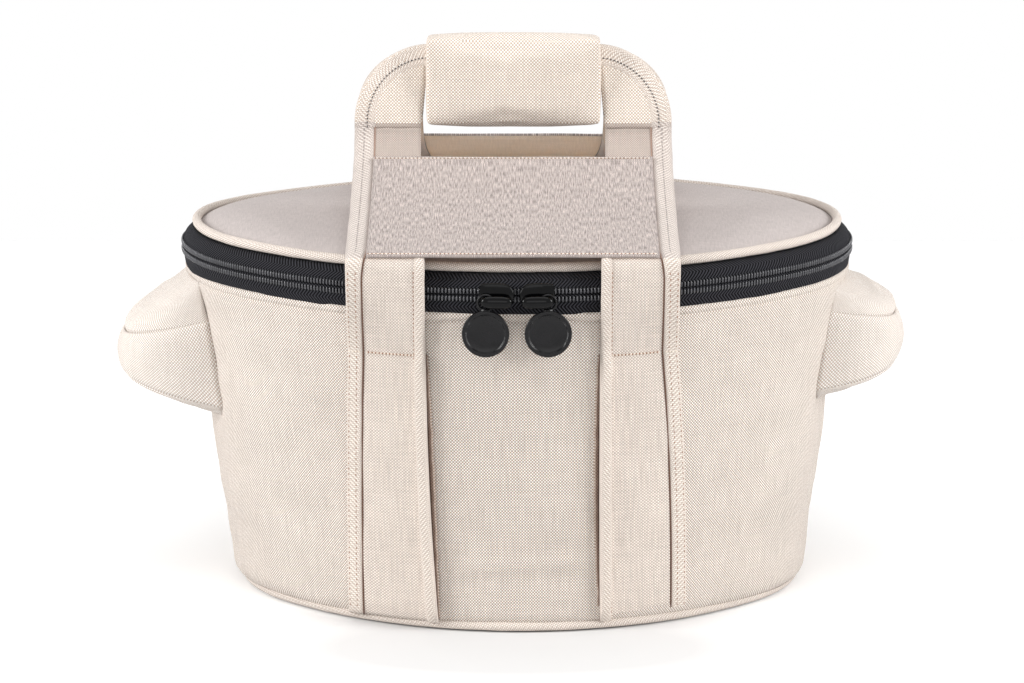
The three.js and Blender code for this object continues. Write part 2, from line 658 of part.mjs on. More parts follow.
function pull(hand) {
  const middle = FRONT_FACE - PLATE_FRONT - RING_ROOM / 2;
  const ringHeight = BAIL_HEIGHT_MIDDLE - RING_DROP;
  const discHeight = ringHeight - DISC_DROP;
  const neckHeight = ringHeight - RING_RADIUS;
  const dishFront = middle - DISC_DEPTH / 2;
  const neck = block(NECK_WIDTH, RING_DEPTH, RING_RADIUS - RING_HOLE + 2, 0, middle, neckHeight - 0.5);
  const body = roundPlate(RING_RADIUS, RING_DEPTH, middle, ringHeight, 24)
    .add(roundPlate(DISC_RADIUS, DISC_DEPTH, middle, discHeight, 36))
    .add(toManifold(neck))
    .subtract(roundPlate(DISC_RADIUS - DISC_RIM, 2 * DISC_DISH, dishFront, discHeight, 36))
    .subtract(roundPlate(RING_HOLE, 2 * RING_DEPTH, middle, ringHeight, 24));
  return fromManifold(body).translate(hand * (BAIL_LENGTH / 2 - BAIL_LEG_RADIUS), 0, 0);
}

for (const [name, hand] of [['left', -1], ['right', 1]]) {
  const turn = new THREE.Group();
  turn.position.set(0, FRONT_CENTRE, 0);
  turn.rotation.z = hand * SLIDER_ANGLE;
  const rest = new THREE.Group();
  rest.position.set(0, -FRONT_CENTRE, 0);
  turn.add(rest);
  carrier.add(turn);
  add(`${name}_zip_slider`, slider(hand), blackMetal, rest);
  add(`${name}_zip_pull`, pull(hand), blackMetal, rest);
}

export default carrier;
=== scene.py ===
import math

import bmesh
import bpy
import numpy as np
from mathutils import Matrix, Vector, noise


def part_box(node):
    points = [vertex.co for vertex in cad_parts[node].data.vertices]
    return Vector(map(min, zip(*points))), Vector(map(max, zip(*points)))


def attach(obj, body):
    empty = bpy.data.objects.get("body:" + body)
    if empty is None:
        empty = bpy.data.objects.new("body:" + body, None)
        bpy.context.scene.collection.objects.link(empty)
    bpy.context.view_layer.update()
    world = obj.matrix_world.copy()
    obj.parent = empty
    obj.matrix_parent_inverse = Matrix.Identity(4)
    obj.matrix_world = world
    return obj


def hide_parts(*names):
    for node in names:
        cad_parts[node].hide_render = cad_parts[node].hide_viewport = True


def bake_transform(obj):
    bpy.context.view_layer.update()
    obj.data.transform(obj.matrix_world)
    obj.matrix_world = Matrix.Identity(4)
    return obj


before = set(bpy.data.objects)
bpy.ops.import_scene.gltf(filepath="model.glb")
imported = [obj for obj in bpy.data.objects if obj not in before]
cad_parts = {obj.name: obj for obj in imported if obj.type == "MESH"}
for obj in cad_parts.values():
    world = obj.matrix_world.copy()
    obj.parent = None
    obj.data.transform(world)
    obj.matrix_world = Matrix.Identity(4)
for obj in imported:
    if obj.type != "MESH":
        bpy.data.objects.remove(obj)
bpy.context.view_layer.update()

scene = bpy.context.scene


# Studio: a white floor under soft light from both sides, from above and from the front.
# The camera stands in front of the carrier and a little above its handles.
CAMERA_PLACE = (0, -1.8, 0.546)
CAMERA_PITCH = math.radians(13.2)
CAMERA_LENS = 121.6
CAMERA_SHIFT = (-0.0048, 0.0054)
LIGHT_AIM = Vector((0, 0, 0.12))
SKY_LEVEL = 0.41
FLOOR_SIZE = 1.8
FLOOR_LEVEL = -0.0004
FLOOR_SEEN = 1.08
FLOOR_SEEN_FRONT = 0.70
FLOOR_BOUNCE = 0.72
PATCH_MIDDLE = -0.135
PATCH_HALF_WIDTH = 0.20
PATCH_HALF_DEPTH = 0.085
PATCH_CORE = 0.45

scene.view_settings.view_transform = "Standard"
camera = bpy.data.objects.new("camera", bpy.data.cameras.new("camera"))
camera.location = CAMERA_PLACE
camera.rotation_euler = (math.pi / 2 - CAMERA_PITCH, 0, 0)
camera.data.lens = CAMERA_LENS
camera.data.shift_x, camera.data.shift_y = CAMERA_SHIFT
scene.collection.objects.link(camera)
scene.camera = camera


def softbox(name, place, width, height, power):
    lamp = bpy.data.lights.new(name, "AREA")
    lamp.shape = "RECTANGLE"
    lamp.size = width
    lamp.size_y = height
    lamp.energy = power
    box = bpy.data.objects.new(name, lamp)
    box.location = place
    box.rotation_euler = (LIGHT_AIM - Vector(place)).to_track_quat("-Z", "Y").to_euler()
    scene.collection.objects.link(box)


softbox("left_softbox", (-2.0, -0.8, 0.95), 0.8, 0.95, 43)
softbox("right_softbox", (2.0, -0.8, 0.95), 0.8, 0.95, 41)
softbox("top_softbox", (0, -0.3, 1.9), 1.8, 1.4, 13)
softbox("front_softbox", (0, -2.6, 0.6), 1.6, 0.8, 6)


def add_node(tree, kind, sockets=None, **settings):
    made = tree.nodes.new(kind)
    for setting, value in settings.items():
        setattr(made, setting, value)
    for socket, value in (sockets or {}).items():
        if isinstance(value, bpy.types.NodeSocket):
            tree.links.new(value, made.inputs[socket])
        else:
            made.inputs[socket].default_value = value
    return made


def calc(tree, operation, first, second=0.0):
    return add_node(tree, "ShaderNodeMath", {0: first, 1: second}, operation=operation).outputs[0]


def remap(tree, value, from_low, from_high, to_low, to_high):
    return add_node(tree, "ShaderNodeMapRange", {
        "Value": value,
        "From Min": from_low,
        "From Max": from_high,
        "To Min": to_low,
        "To Max": to_high,
    }).outputs[0]


def seen_directly(tree):
    path = add_node(tree, "ShaderNodeLightPath")
    mirrored = calc(tree, "MAXIMUM", path.outputs["Is Glossy Ray"], path.outputs["Is Transmission Ray"])
    return calc(tree, "MAXIMUM", path.outputs["Is Camera Ray"], mirrored)


world = bpy.data.worlds.new("studio")
world.use_nodes = True
scene.world = world
sky = world.node_tree
sky_strength = calc(sky, "MULTIPLY", seen_directly(sky), 1 - SKY_LEVEL)
add_node(sky, "ShaderNodeOutputWorld", {
    "Surface": add_node(sky, "ShaderNodeBackground", {
        "Color": (1, 1, 1, 1),
        "Strength": calc(sky, "ADD", sky_strength, SKY_LEVEL),
    }).outputs[0],
}, is_active_output=True)

floor_paint = bpy.data.materials.new("white_floor")
floor_paint.use_nodes = True
paint = floor_paint.node_tree
# A duller oval in front of the foot keeps the shadow there from being washed out
patch_place = add_node(paint, "ShaderNodeMapping", {
    "Vector": add_node(paint, "ShaderNodeTexCoord").outputs["Object"],
    "Location": (0, -PATCH_MIDDLE / PATCH_HALF_DEPTH, 0),
    "Scale": (1 / PATCH_HALF_WIDTH, 1 / PATCH_HALF_DEPTH, 0),
}).outputs[0]
patch_reach = add_node(paint, "ShaderNodeVectorMath", {0: patch_place}, operation="LENGTH").outputs["Value"]
floor_seen = remap(paint, patch_reach, PATCH_CORE, 1, FLOOR_SEEN_FRONT, FLOOR_SEEN)
floor_shade = calc(paint, "MULTIPLY", seen_directly(paint), calc(paint, "SUBTRACT", floor_seen, FLOOR_BOUNCE))
paint.links.new(
    add_node(paint, "ShaderNodeBsdfDiffuse", {
        "Color": calc(paint, "ADD", floor_shade, FLOOR_BOUNCE),
    }).outputs[0],
    paint.nodes["Material Output"].inputs["Surface"],
)
floor_mesh = bmesh.new()
bmesh.ops.create_grid(floor_mesh, x_segments=1, y_segments=1, size=FLOOR_SIZE / 2)
bmesh.ops.translate(floor_mesh, verts=floor_mesh.verts, vec=(0, 0, FLOOR_LEVEL))
floor = bpy.data.objects.new("floor", bpy.data.meshes.new("floor"))
floor_mesh.to_mesh(floor.data)
floor.data.materials.append(floor_paint)
scene.collection.objects.link(floor)


# Base panel: the oval of canvas that the carrier stands on, with a stiff board above it.
# It is cut flat and sewn to the wall with a corded seam round its edge.
rim_low, rim_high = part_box("wall_cloth")
RIM_HALF_WIDTH = rim_high.x
RIM_HALF_DEPTH = rim_high.y
RIM_HEIGHT = rim_high.z
RIM_DROP = 0.0026
RIM_TILT = 0.0062
RIM_DIP = 0.0010
FOOT_SHIFT = 0.0018
SETTLE_HEIGHT = 0.09
SETTLE_START = 0.02
SETTLE_BACK = 0.13
SETTLE_FRONT = 0.11
END_RADIUS = 0.104
END_CENTRE = RIM_HALF_WIDTH - END_RADIUS
FRONT_RADIUS = (RIM_HALF_DEPTH**2 + END_CENTRE**2 - END_RADIUS**2) / (2 * (RIM_HALF_DEPTH - END_RADIUS))
FRONT_CENTRE = FRONT_RADIUS - RIM_HALF_DEPTH
ARC_SPLIT = math.atan2(FRONT_CENTRE, END_CENTRE)
RIM_ARCS = [
    (FRONT_RADIUS, math.pi / 2 - ARC_SPLIT),
    (END_RADIUS, 2 * ARC_SPLIT),
    (FRONT_RADIUS, math.pi - 2 * ARC_SPLIT),
    (END_RADIUS, 2 * ARC_SPLIT),
    (FRONT_RADIUS, math.pi / 2 - ARC_SPLIT),
]
RIM_LENGTH = sum(radius * turn for radius, turn in RIM_ARCS)
CANVAS_YARN = 0.00083
CREAM = (254, 249, 242)
TAN = (168, 145, 129)


def oval_point(angle, inset):
    across, deep = math.cos(angle), math.sin(angle)
    if abs(deep) < math.sin(ARC_SPLIT):
        middle, radius = Vector((math.copysign(END_CENTRE, across), 0)), END_RADIUS - inset
    else:
        middle, radius = Vector((0, -math.copysign(FRONT_CENTRE, deep))), FRONT_RADIUS - inset
    return middle + radius * Vector((across, deep))


# Direction faced at a share of the way round the rim, from the middle of the back and past the left end
def rim_angle(share):
    angle = math.pi / 2
    distance = share * RIM_LENGTH
    for radius, turn in RIM_ARCS:
        if distance <= radius * turn:
            return angle + distance / radius
        distance -= radius * turn
        angle += turn
    return angle


def mix(low, high, share):
    return low + (high - low) * share


def ease(share):
    share = min(1.0, max(0.0, share))
    return share * share * (3 - 2 * share)


# Empty, the soft bag leans: its foot stands to the right of the rim, which settles in front and at the back
def foot_shift(z):
    return FOOT_SHIFT * max(0.0, 1 - z / RIM_HEIGHT)


def settle(shape):
    for vert in shape.verts:
        back = ease((vert.co.y + SETTLE_START) / SETTLE_BACK) * (RIM_DROP - RIM_TILT * vert.co.x)
        front = ease((-vert.co.y - SETTLE_START) / SETTLE_FRONT) * RIM_DIP
        vert.co.x += foot_shift(vert.co.z)
        vert.co.z -= ease((vert.co.z - SETTLE_HEIGHT) / SETTLE_HEIGHT) * (back + front)
    return shape


# A woven cloth cut flat, with its cut pattern kept in the "cloth" map, and laid in place point by point
def lay_cloth(columns, rows, lay, cut, joined=False):
    cloth = bmesh.new()
    bmesh.ops.create_grid(cloth, x_segments=columns, y_segments=rows, size=0.5)
    pattern = cloth.loops.layers.uv.new("cloth")
    for face in cloth.faces:
        for corner in face.loops:
            corner[pattern].uv = cut(corner.vert.co.x + 0.5, corner.vert.co.y + 0.5)
    for vert in cloth.verts:
        vert.co = lay(vert.co.x + 0.5, vert.co.y + 0.5)
    if joined:
        bmesh.ops.remove_doubles(cloth, verts=cloth.verts, dist=1e-6)
        bmesh.ops.recalc_face_normals(cloth, faces=cloth.faces)
    return cloth


def make_piece(name, shape, materials, body=None, replaces=(), thickness=0.0):
    piece = bpy.data.objects.new(name, bpy.data.meshes.new(name))
    shape.to_mesh(piece.data)
    shape.free()
    for material in materials:
        piece.data.materials.append(material)
    piece.data.polygons.foreach_set("use_smooth", [True] * len(piece.data.polygons))
    scene.collection.objects.link(piece)
    if thickness:
        wall = piece.modifiers.new("thickness", "SOLIDIFY")
        wall.thickness = thickness
        wall.offset = -1
    if body:
        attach(piece, body)
    if replaces:
        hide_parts(*replaces)
    return piece


def tint(colour):
    light = [c / 255 for c in colour]
    return (*(c / 12.92 if c <= 0.04045 else ((c + 0.055) / 1.055) ** 2.4 for c in light), 1)


def new_finish(name):
    material = bpy.data.materials.new(name)
    material.use_nodes = True
    return material, material.node_tree, material.node_tree.nodes["Principled BSDF"]


def mix_colours(tree, mode, factor, first, second):
    return add_node(
        tree, "ShaderNodeMix", {0: factor, 6: first, 7: second}, data_type="RGBA", blend_type=mode
    ).outputs[2]


def grain(tree, scale, detail):
    return add_node(tree, "ShaderNodeTexNoise", {
        "Vector": add_node(tree, "ShaderNodeTexCoord").outputs["Object"],
        "Scale": scale,
        "Detail": detail,
    }).outputs[0]


def dye(tree, surface, colour, shade):
    tree.links.new(mix_colours(tree, "MULTIPLY", 1.0, colour, shade), surface.inputs["Base Color"])


def emboss(tree, surface, height, strength, depth):
    bump = add_node(tree, "ShaderNodeBump", {"Height": height, "Strength": strength, "Distance": depth})
    tree.links.new(bump.outputs[0], surface.inputs["Normal"])


# Plain-woven cloth: lengthwise and crosswise yarns of two tones, uneven along their length
def woven(
    name, lengthwise, crosswise, yarn, turn=0.0, slub=0.08, gap=0.2, relief=0.55, mottle=0.03, sheen=0.12,
    streak=0.045, cross_slub=None,
):
    material, tree, surface = new_finish(name)
    cut = add_node(tree, "ShaderNodeUVMap", uv_map="cloth").outputs[0]
    yarns = add_node(tree, "ShaderNodeMapping", {
        "Vector": cut,
        "Rotation": (0, 0, turn),
        "Scale": (1 / yarn, 1 / yarn, 1),
    }).outputs[0]
    place = add_node(tree, "ShaderNodeSeparateXYZ", {0: yarns})
    ends = calc(tree, "SINE", calc(tree, "MULTIPLY", place.outputs[0], math.pi))
    picks = calc(tree, "SINE", calc(tree, "MULTIPLY", place.outputs[1], math.pi))
    crossing = calc(tree, "MULTIPLY", ends, picks)
    on_top = remap(tree, crossing, -0.3, 0.3, 0, 1)
    gaps = remap(tree, calc(tree, "ABSOLUTE", crossing), 0, 0.35, 1 - gap, 1)
    tones = []
    cross_slub = slub if cross_slub is None else cross_slub
    for stretch, rough in (((streak, 0.9, 1), cross_slub), ((0.9, streak, 1), slub)):
        along = add_node(tree, "ShaderNodeVectorMath", {0: yarns, 1: stretch}, operation="MULTIPLY")
        uneven = add_node(tree, "ShaderNodeTexNoise", {
            "Vector": along.outputs[0],
            "Scale": 1.0,
            "Detail": 2.0,
        })
        tones.append(remap(tree, uneven.outputs[0], 0.25, 0.75, 1 - 1.6 * rough, 1 + rough))
    colour = mix_colours(tree, "MIX", on_top, tint(crosswise), tint(lengthwise))
    tone = add_node(tree, "ShaderNodeMix", {0: on_top, 2: tones[0], 3: tones[1]}).outputs[0]
    clouds = remap(tree, grain(tree, 38.0, 3.0), 0.3, 0.7, 1 - mottle, 1 + mottle)
    shading = calc(tree, "MULTIPLY", calc(tree, "MULTIPLY", tone, clouds), gaps)
    dye(tree, surface, colour, shading)
    raised = calc(tree, "POWER", calc(tree, "ABSOLUTE", crossing), 0.6)
    height = calc(tree, "MULTIPLY", raised, tone)
    emboss(tree, surface, height, relief, 0.5 * yarn)
    tree.links.new(remap(tree, tone, 0.8, 1.1, 0.96, 0.86), surface.inputs["Roughness"])
    surface.inputs["Sheen Weight"].default_value = sheen
    surface.inputs["Sheen Roughness"].default_value = 0.45
    surface.inputs["Specular IOR Level"].default_value = 0.25
    return material


canvas = woven("beige_canvas", CREAM, TAN, CANVAS_YARN, slub=0.11)


# An oval of cloth from its middle out to an inset from the rim, at the height that rise gives
def lay_oval(inset, rise, columns=160, rows=30):
    def lay(u, v):
        edge = oval_point(rim_angle(u), inset) * v
        return Vector((edge.x, edge.y, rise(edge.x, edge.y, v)))

    def cut(u, v):
        edge = oval_point(rim_angle(u), inset) * v
        return edge.x, edge.y

    return lay_cloth(columns, rows, lay, cut, joined=True)


def face_outwards(shape, outward):
    shape.normal_update()
    if sum(face.normal.dot(outward) * face.calc_area() for face in shape.faces) < 0:
        bmesh.ops.reverse_faces(shape, faces=shape.faces)


base_low, base_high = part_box("base_panel")
BASE_INSET = RIM_HALF_WIDTH - base_high.x + 0.001
BASE_CLEAR = 0.0001
BASE_HOLLOW = 0.0006
CANVAS_THICKNESS = 0.0012


def base_rise(x, y, v):
    return base_low.z + BASE_CLEAR + BASE_HOLLOW * (1 - v)


base_shape = settle(lay_oval(BASE_INSET, base_rise))
face_outwards(base_shape, Vector((0, 0, -1)))
base_panel = make_piece(
    "base_panel_cloth",
    base_shape,
    [canvas],
    body="bag",
    replaces=["base_panel"],
    thickness=CANVAS_THICKNESS,
)


def plain_board(name, colour, fineness):
    material, tree, surface = new_finish(name)
    fibres = grain(tree, fineness, 5.0)
    dye(tree, surface, tint(colour), remap(tree, fibres, 0.3, 0.7, 0.85, 1.1))
    tree.links.new(remap(tree, fibres, 0.3, 0.7, 0.65, 0.85), surface.inputs["Roughness"])
    emboss(tree, surface, fibres, 0.2, 0.0004)
    return material


base_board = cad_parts["base_board"]
base_board.data.materials.clear()
base_board.data.materials.append(plain_board("base_board_grey", (58, 58, 60), 420))


# Base piping: a cord wrapped in a bias strip of canvas, caught in the seam round the foot.
# It takes the wear where the carrier is set down.
PIPING_YARN = 0.0007
cord_low, cord_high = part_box("base_piping")
BASE_CORD_RADIUS = 0.0025
BASE_CORD_INSET = RIM_HALF_WIDTH - cord_high.x + 0.0057
BASE_CORD_FRONT = 0.0036
CORD_WAVER = 0.05
piping_bias = woven("piping_bias", (252, 245, 237), (192, 172, 158), PIPING_YARN, turn=0.4, relief=0.6)


def lay_piping(inset, height, radius, front=0.0):
    def lay(u, v):
        angle = rim_angle(u)
        turn = 2 * math.pi * v
        thick = radius * (1 + CORD_WAVER * noise.noise(Vector((90 * u, 2 * math.cos(2 * math.pi * u), 0.5))))
        place = oval_point(angle, inset - front * abs(math.sin(angle)) ** 3 - thick * math.cos(turn))
        return Vector((place.x, place.y, height + thick * math.sin(turn)))

    return lay_cloth(360, 14, lay, lambda u, v: (u * RIM_LENGTH, v * 2 * math.pi * radius), joined=True)


make_piece(
    "base_piping_cord",
    settle(lay_piping(
        BASE_CORD_INSET, cord_low.z + BASE_CORD_RADIUS, BASE_CORD_RADIUS, front=BASE_CORD_FRONT
    )),
    [piping_bias],
    body="bag",
    replaces=["base_piping"],
)


# Wall: one strip of two-tone canvas over foam, sewn into an oval tube that draws in to the foot.
# Its top edge is rolled over the seam of the zip and puckers there; two mouths open into the ears.
WALL_FOOT = rim_low.z - 0.0028
WALL_TOP = RIM_HEIGHT
WALL_TAPER = 0.0230
WALL_CLOTH = 0.0014
FOOT_TUCK = 0.0028
FOOT_ROUND = 0.0065
ROLL_HEIGHT = 0.0044
ROLL_PROUD = 0.0011
PLAIN_HEIGHT = 0.166
PLAIN_ROWS = 0.86
STRAP_MIDDLE = 0.0635
STRAP_HALF_WIDTH = 0.0265
MOUTH_HALF_WIDTH = 0.034
MOUTH_FOOT = 0.113
MOUTH_TOP = 0.157
END_START = 0.13


def wall_inset(z):
    return WALL_TAPER * (1 - z / WALL_TOP)


# How far the canvas stands out from its plain cone: soft folds, the tuck at the foot and the rolled top
def wall_swell(u, x, z):
    clear = ease((abs(abs(x) - STRAP_MIDDLE) - STRAP_HALF_WIDTH) / 0.008)
    run = u * RIM_LENGTH
    level = noise.noise(Vector((16 * run, 75 * z, 1.7)))
    slack = noise.noise(Vector((9 * run, 26 * z, 8.3)))
    folds = clear * (0.0009 * level + 0.0016 * slack - 0.0006)
    ridge = 0.034 + 0.004 * math.sin(19 * x + 0.6)
    folds += clear * 0.0012 * math.exp(-(((z - ridge) / 0.0045) ** 2)) * ease((0.06 - abs(x)) / 0.02)
    tuck = -FOOT_TUCK * max(0.0, 1 - (z - WALL_FOOT) / FOOT_ROUND) ** 2.2
    gather = noise.noise(Vector((95 * run, 30 * z, 4.2))) * 0.0004 * ease((z - 0.150) / 0.020)
    rolled = (z - (WALL_TOP - ROLL_HEIGHT)) / ROLL_HEIGHT
    roll = ROLL_PROUD * math.sin(math.pi * min(1.0, max(0.0, rolled))) ** 0.7
    groove = -0.0006 * math.exp(-(((z - (WALL_TOP - ROLL_HEIGHT)) / 0.0009) ** 2))
    return folds + tuck + gather + roll + groove


# Rows are closer together over the rolled top
def wall_height(v):
    if v < PLAIN_ROWS:
        return mix(WALL_FOOT, PLAIN_HEIGHT, v / PLAIN_ROWS)
    return mix(PLAIN_HEIGHT, WALL_TOP, (v - PLAIN_ROWS) / (1 - PLAIN_ROWS))


def lay_wall(u, v):
    z = wall_height(v)
    angle = rim_angle(u)
    plain = oval_point(angle, wall_inset(z))
    place = oval_point(angle, wall_inset(z) - wall_swell(u, plain.x, z))
    return Vector((place.x, place.y, z))


def cut_mouths(cloth):
    for middle, facing in (
        ((0, -MOUTH_HALF_WIDTH, 0), (0, 1, 0)),
        ((0, MOUTH_HALF_WIDTH, 0), (0, 1, 0)),
        ((0, 0, MOUTH_FOOT), (0, 0, 1)),
        ((0, 0, MOUTH_TOP), (0, 0, 1)),
    ):
        ends = [face for face in cloth.faces if abs(face.calc_center_median().x) > END_START]
        edges = {edge for face in ends for edge in face.edges}
        verts = {vert for face in ends for vert in face.verts}
        bmesh.ops.bisect_plane(
            cloth, geom=[*ends, *edges, *verts], dist=1e-6, plane_co=middle, plane_no=facing
        )
    mouths = []
    for face in cloth.faces:
        middle = face.calc_center_median()
        in_mouth = abs(middle.y) < MOUTH_HALF_WIDTH and MOUTH_FOOT < middle.z < MOUTH_TOP
        if in_mouth and abs(middle.x) > END_START:
            mouths.append(face)
    bmesh.ops.delete(cloth, geom=mouths, context="FACES")
    return cloth


wall = make_piece(
    "outer_wall",
    settle(cut_mouths(lay_cloth(
        330, 90, lay_wall, lambda u, v: (u * RIM_LENGTH, wall_height(v)), joined=True
    ))),
    [canvas],
    body="bag",
    replaces=["wall_cloth", "wall_foam"],
    thickness=WALL_CLOTH,
)


# Lining: pale grey insulating cloth inside the foam, rolled over the foam's top edge to the zip.
# The floor of the space for the pot is a thin padded oval of the same cloth.
LINING_YARN = 0.0004
LINING_THICKNESS = 0.0007
lining_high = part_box("wall_lining")[1]
floor_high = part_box("base_lining")[1]
LINING_DEPTH = RIM_HALF_WIDTH - lining_high.x
LINING_ROLL = 0.008
FLOOR_UNDERSIDE = 0.0052
FLOOR_CROWN = 0.0012
OVAL_FLAT = 0.8
lining_cloth = woven(
    "lining_grey", (196, 198, 202), (180, 183, 188), LINING_YARN, slub=0.05, relief=0.35, sheen=0.3
)


def lay_lining(u, v):
    z = mix(floor_high.z - 0.002, WALL_TOP - 0.0004, v)
    over = max(0.0, 1 - (WALL_TOP - z) / LINING_ROLL)
    rolled = (LINING_DEPTH - WALL_CLOTH - 0.0006) * (1 - math.sqrt(1 - min(1.0, over) ** 2))
    quilt = 0.0008 * noise.noise(Vector((14 * u * RIM_LENGTH, 20 * z, 5.5)))
    place = oval_point(rim_angle(u), wall_inset(z) + LINING_DEPTH - rolled - quilt)
    return Vector((place.x, place.y, z))


wall_lining = settle(cut_mouths(lay_cloth(
    260, 70, lay_lining, lambda u, v: (u * RIM_LENGTH, v * WALL_TOP), joined=True
)))
bmesh.ops.reverse_faces(wall_lining, faces=wall_lining.faces)
lining = make_piece(
    "inner_lining",
    wall_lining,
    [lining_cloth],
    body="bag",
    replaces=["wall_lining"],
    thickness=LINING_THICKNESS,
)


# A padded oval with a rounded rim: v runs from the middle of the shown face over the rim to the hidden one
def lay_pad(inset, face_height, back_height, crown):
    thick = abs(back_height - face_height)
    facing = math.copysign(1, face_height - back_height)

    def lay(u, v):
        flat = min(1.0, v / OVAL_FLAT)
        rim = max(0.0, (v - OVAL_FLAT) / (1 - OVAL_FLAT))
        drawn = thick * (1 - math.sin(rim * math.pi / 2))
        place = oval_point(rim_angle(u), inset + 0.3 * drawn) * flat
        swell = crown * (1 - flat**4) + 0.0006 * noise.noise(Vector((30 * place.x, 30 * place.y, 2.5)))
        drop = thick * (1 - math.cos(rim * math.pi / 2))
        return Vector((place.x, place.y, face_height + facing * (swell * (1 - rim) - drop)))

    def cut(u, v):
        flat = oval_point(rim_angle(u), inset) * v
        return flat.x, flat.y

    return lay_cloth(140, 30, lay, cut, joined=True)


inner_floor = make_piece(
    "inner_floor",
    settle(lay_pad(
        RIM_HALF_WIDTH - floor_high.x - 0.0035, floor_high.z, FLOOR_UNDERSIDE, FLOOR_CROWN
    )),
    [lining_cloth],
    body="bag",
    replaces=["base_lining", "base_foam"],
)


# Zip: two black herringbone tapes round the rim with a nylon coil on each meeting edge.
# Behind, a strip of canvas hinges the lid, and a clamped stop closes each end of the coil.
lower_low, lower_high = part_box("lower_zip_tape")
upper_low, upper_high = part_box("upper_zip_tape")
coil_low, coil_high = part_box("lower_zip_coil")
hinge_low, hinge_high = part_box("hinge_strip")
TAPE_THICKNESS = 0.0009
TAPE_BULGE = 0.0004
TAPE_ROLL = 0.0050
COIL_SHARE = 0.42
HINGE_SHARE = FRONT_RADIUS * math.asin(hinge_high.x / FRONT_RADIUS) / RIM_LENGTH
TAPE_SHARE = HINGE_SHARE + 0.0006 / RIM_LENGTH
STOP_SHARE = 0.0056 / RIM_LENGTH
TOOTH_PITCH = 0.0018
TOOTH_SIZE = (0.00125, 0.0014, 0.0031)
TOOTH_OUT = 0.0009
HINGE_LENGTH = 0.122
STOP_SIZE = (0.0048, 0.0017, 0.0035)
STOP_EDGE = 0.0006


def herringbone(name, colour, thread, rib):
    material, tree, surface = new_finish(name)
    cut = add_node(tree, "ShaderNodeUVMap", uv_map="cloth").outputs[0]
    place = add_node(tree, "ShaderNodeSeparateXYZ", {0: cut})
    zigzag = calc(tree, "PINGPONG", place.outputs[1], rib)
    slant = calc(tree, "ADD", place.outputs[0], zigzag)
    lines = calc(tree, "SINE", calc(tree, "MULTIPLY", slant, 2 * math.pi / thread))
    fibres = add_node(tree, "ShaderNodeTexNoise", {"Vector": cut, "Scale": 1800.0, "Detail": 2.0}).outputs[0]
    tone = calc(tree, "ADD", remap(tree, lines, -1, 1, 0.05, 3.2), remap(tree, fibres, 0.3, 0.7, -0.2, 0.2))
    dye(tree, surface, tint(colour), tone)
    tree.links.new(remap(tree, lines, -1, 1, 0.9, 0.7), surface.inputs["Roughness"])
    emboss(tree, surface, lines, 0.8, 0.0003)
    surface.inputs["Sheen Weight"].default_value = 0.01
    surface.inputs["Specular IOR Level"].default_value = 0.06
    return material


zip_tape = herringbone("black_zip_tape", (31, 31, 34), 0.0021, 0.0046)


# How far out the zip stands: it bulges along the coil and rolls in to the lid at the top
def zip_swell(z):
    share = (z - lower_low.z) / (upper_high.z - lower_low.z)
    foot_in = 0.0007 * (max(0.0, COIL_SHARE - share) / COIL_SHARE) ** 2
    return TAPE_BULGE - foot_in - TAPE_ROLL * (max(0.0, share - COIL_SHARE) / (1 - COIL_SHARE)) ** 4


# Width of a tape laid flat, measured along its roll
def tape_width(foot, top, steps=40):
    heights = [mix(foot, top, step / steps) for step in range(steps + 1)]
    return sum(math.hypot(b - a, zip_swell(b) - zip_swell(a)) for a, b in zip(heights, heights[1:]))


def lay_tape(foot, top):
    def lay(u, v):
        share = mix(TAPE_SHARE, 1 - TAPE_SHARE, u)
        z = mix(foot, top, v)
        waver = 0.0003 * noise.noise(Vector((40 * share * RIM_LENGTH, 60 * z, 6.1)))
        place = oval_point(rim_angle(share), -zip_swell(z) - waver)
        return Vector((place.x, place.y, z))

    return lay_cloth(320, 10, lay, lambda u, v: (u * RIM_LENGTH, v * tape_width(foot, top)))


def add_shape(whole, part):
    joined = bpy.data.meshes.new("part")
    part.to_mesh(joined)
    part.free()
    whole.from_mesh(joined)
    bpy.data.meshes.remove(joined)


# Beads are made in short lengths, because each new one takes longer in a long row
def string_beads(seats, around=6, along=4, length=20):
    row = bmesh.new()
    for start in range(0, len(seats), length):
        beads = bmesh.new()
        for seat in seats[start:start + length]:
            bmesh.ops.create_uvsphere(beads, u_segments=around, v_segments=along, radius=0.5, matrix=seat)
        add_shape(row, beads)
    return row


# One row of coil: each tooth a rounded bead with its long way up the tape
def string_teeth(height):
    start, end = TAPE_SHARE + STOP_SHARE, 1 - TAPE_SHARE - STOP_SHARE
    count = int((end - start) * RIM_LENGTH / TOOTH_PITCH)
    seats = []
    for step in range(count):
        angle = rim_angle(mix(start, end, (step + 0.5) / count))
        place = oval_point(angle, -TOOTH_OUT)
        seat = Matrix.Translation((place.x, place.y, height))
        turned = Matrix.Rotation(angle - math.pi / 2, 4, "Z")
        seats.append(seat @ turned @ Matrix.Diagonal((*TOOTH_SIZE, 1)))
    return string_beads(seats, around=8, along=5)


def moulded(name, colour, low_rough, high_rough, shine, relief=0.08):
    material, tree, surface = new_finish(name)
    broad = grain(tree, 160.0, 2.0)
    dye(tree, surface, tint(colour), remap(tree, broad, 0.3, 0.7, 0.85, 1.15))
    tree.links.new(remap(tree, broad, 0.3, 0.7, low_rough, high_rough), surface.inputs["Roughness"])
    emboss(tree, surface, grain(tree, 900.0, 4.0), relief, 0.0002)
    surface.inputs["Specular IOR Level"].default_value = shine
    return material


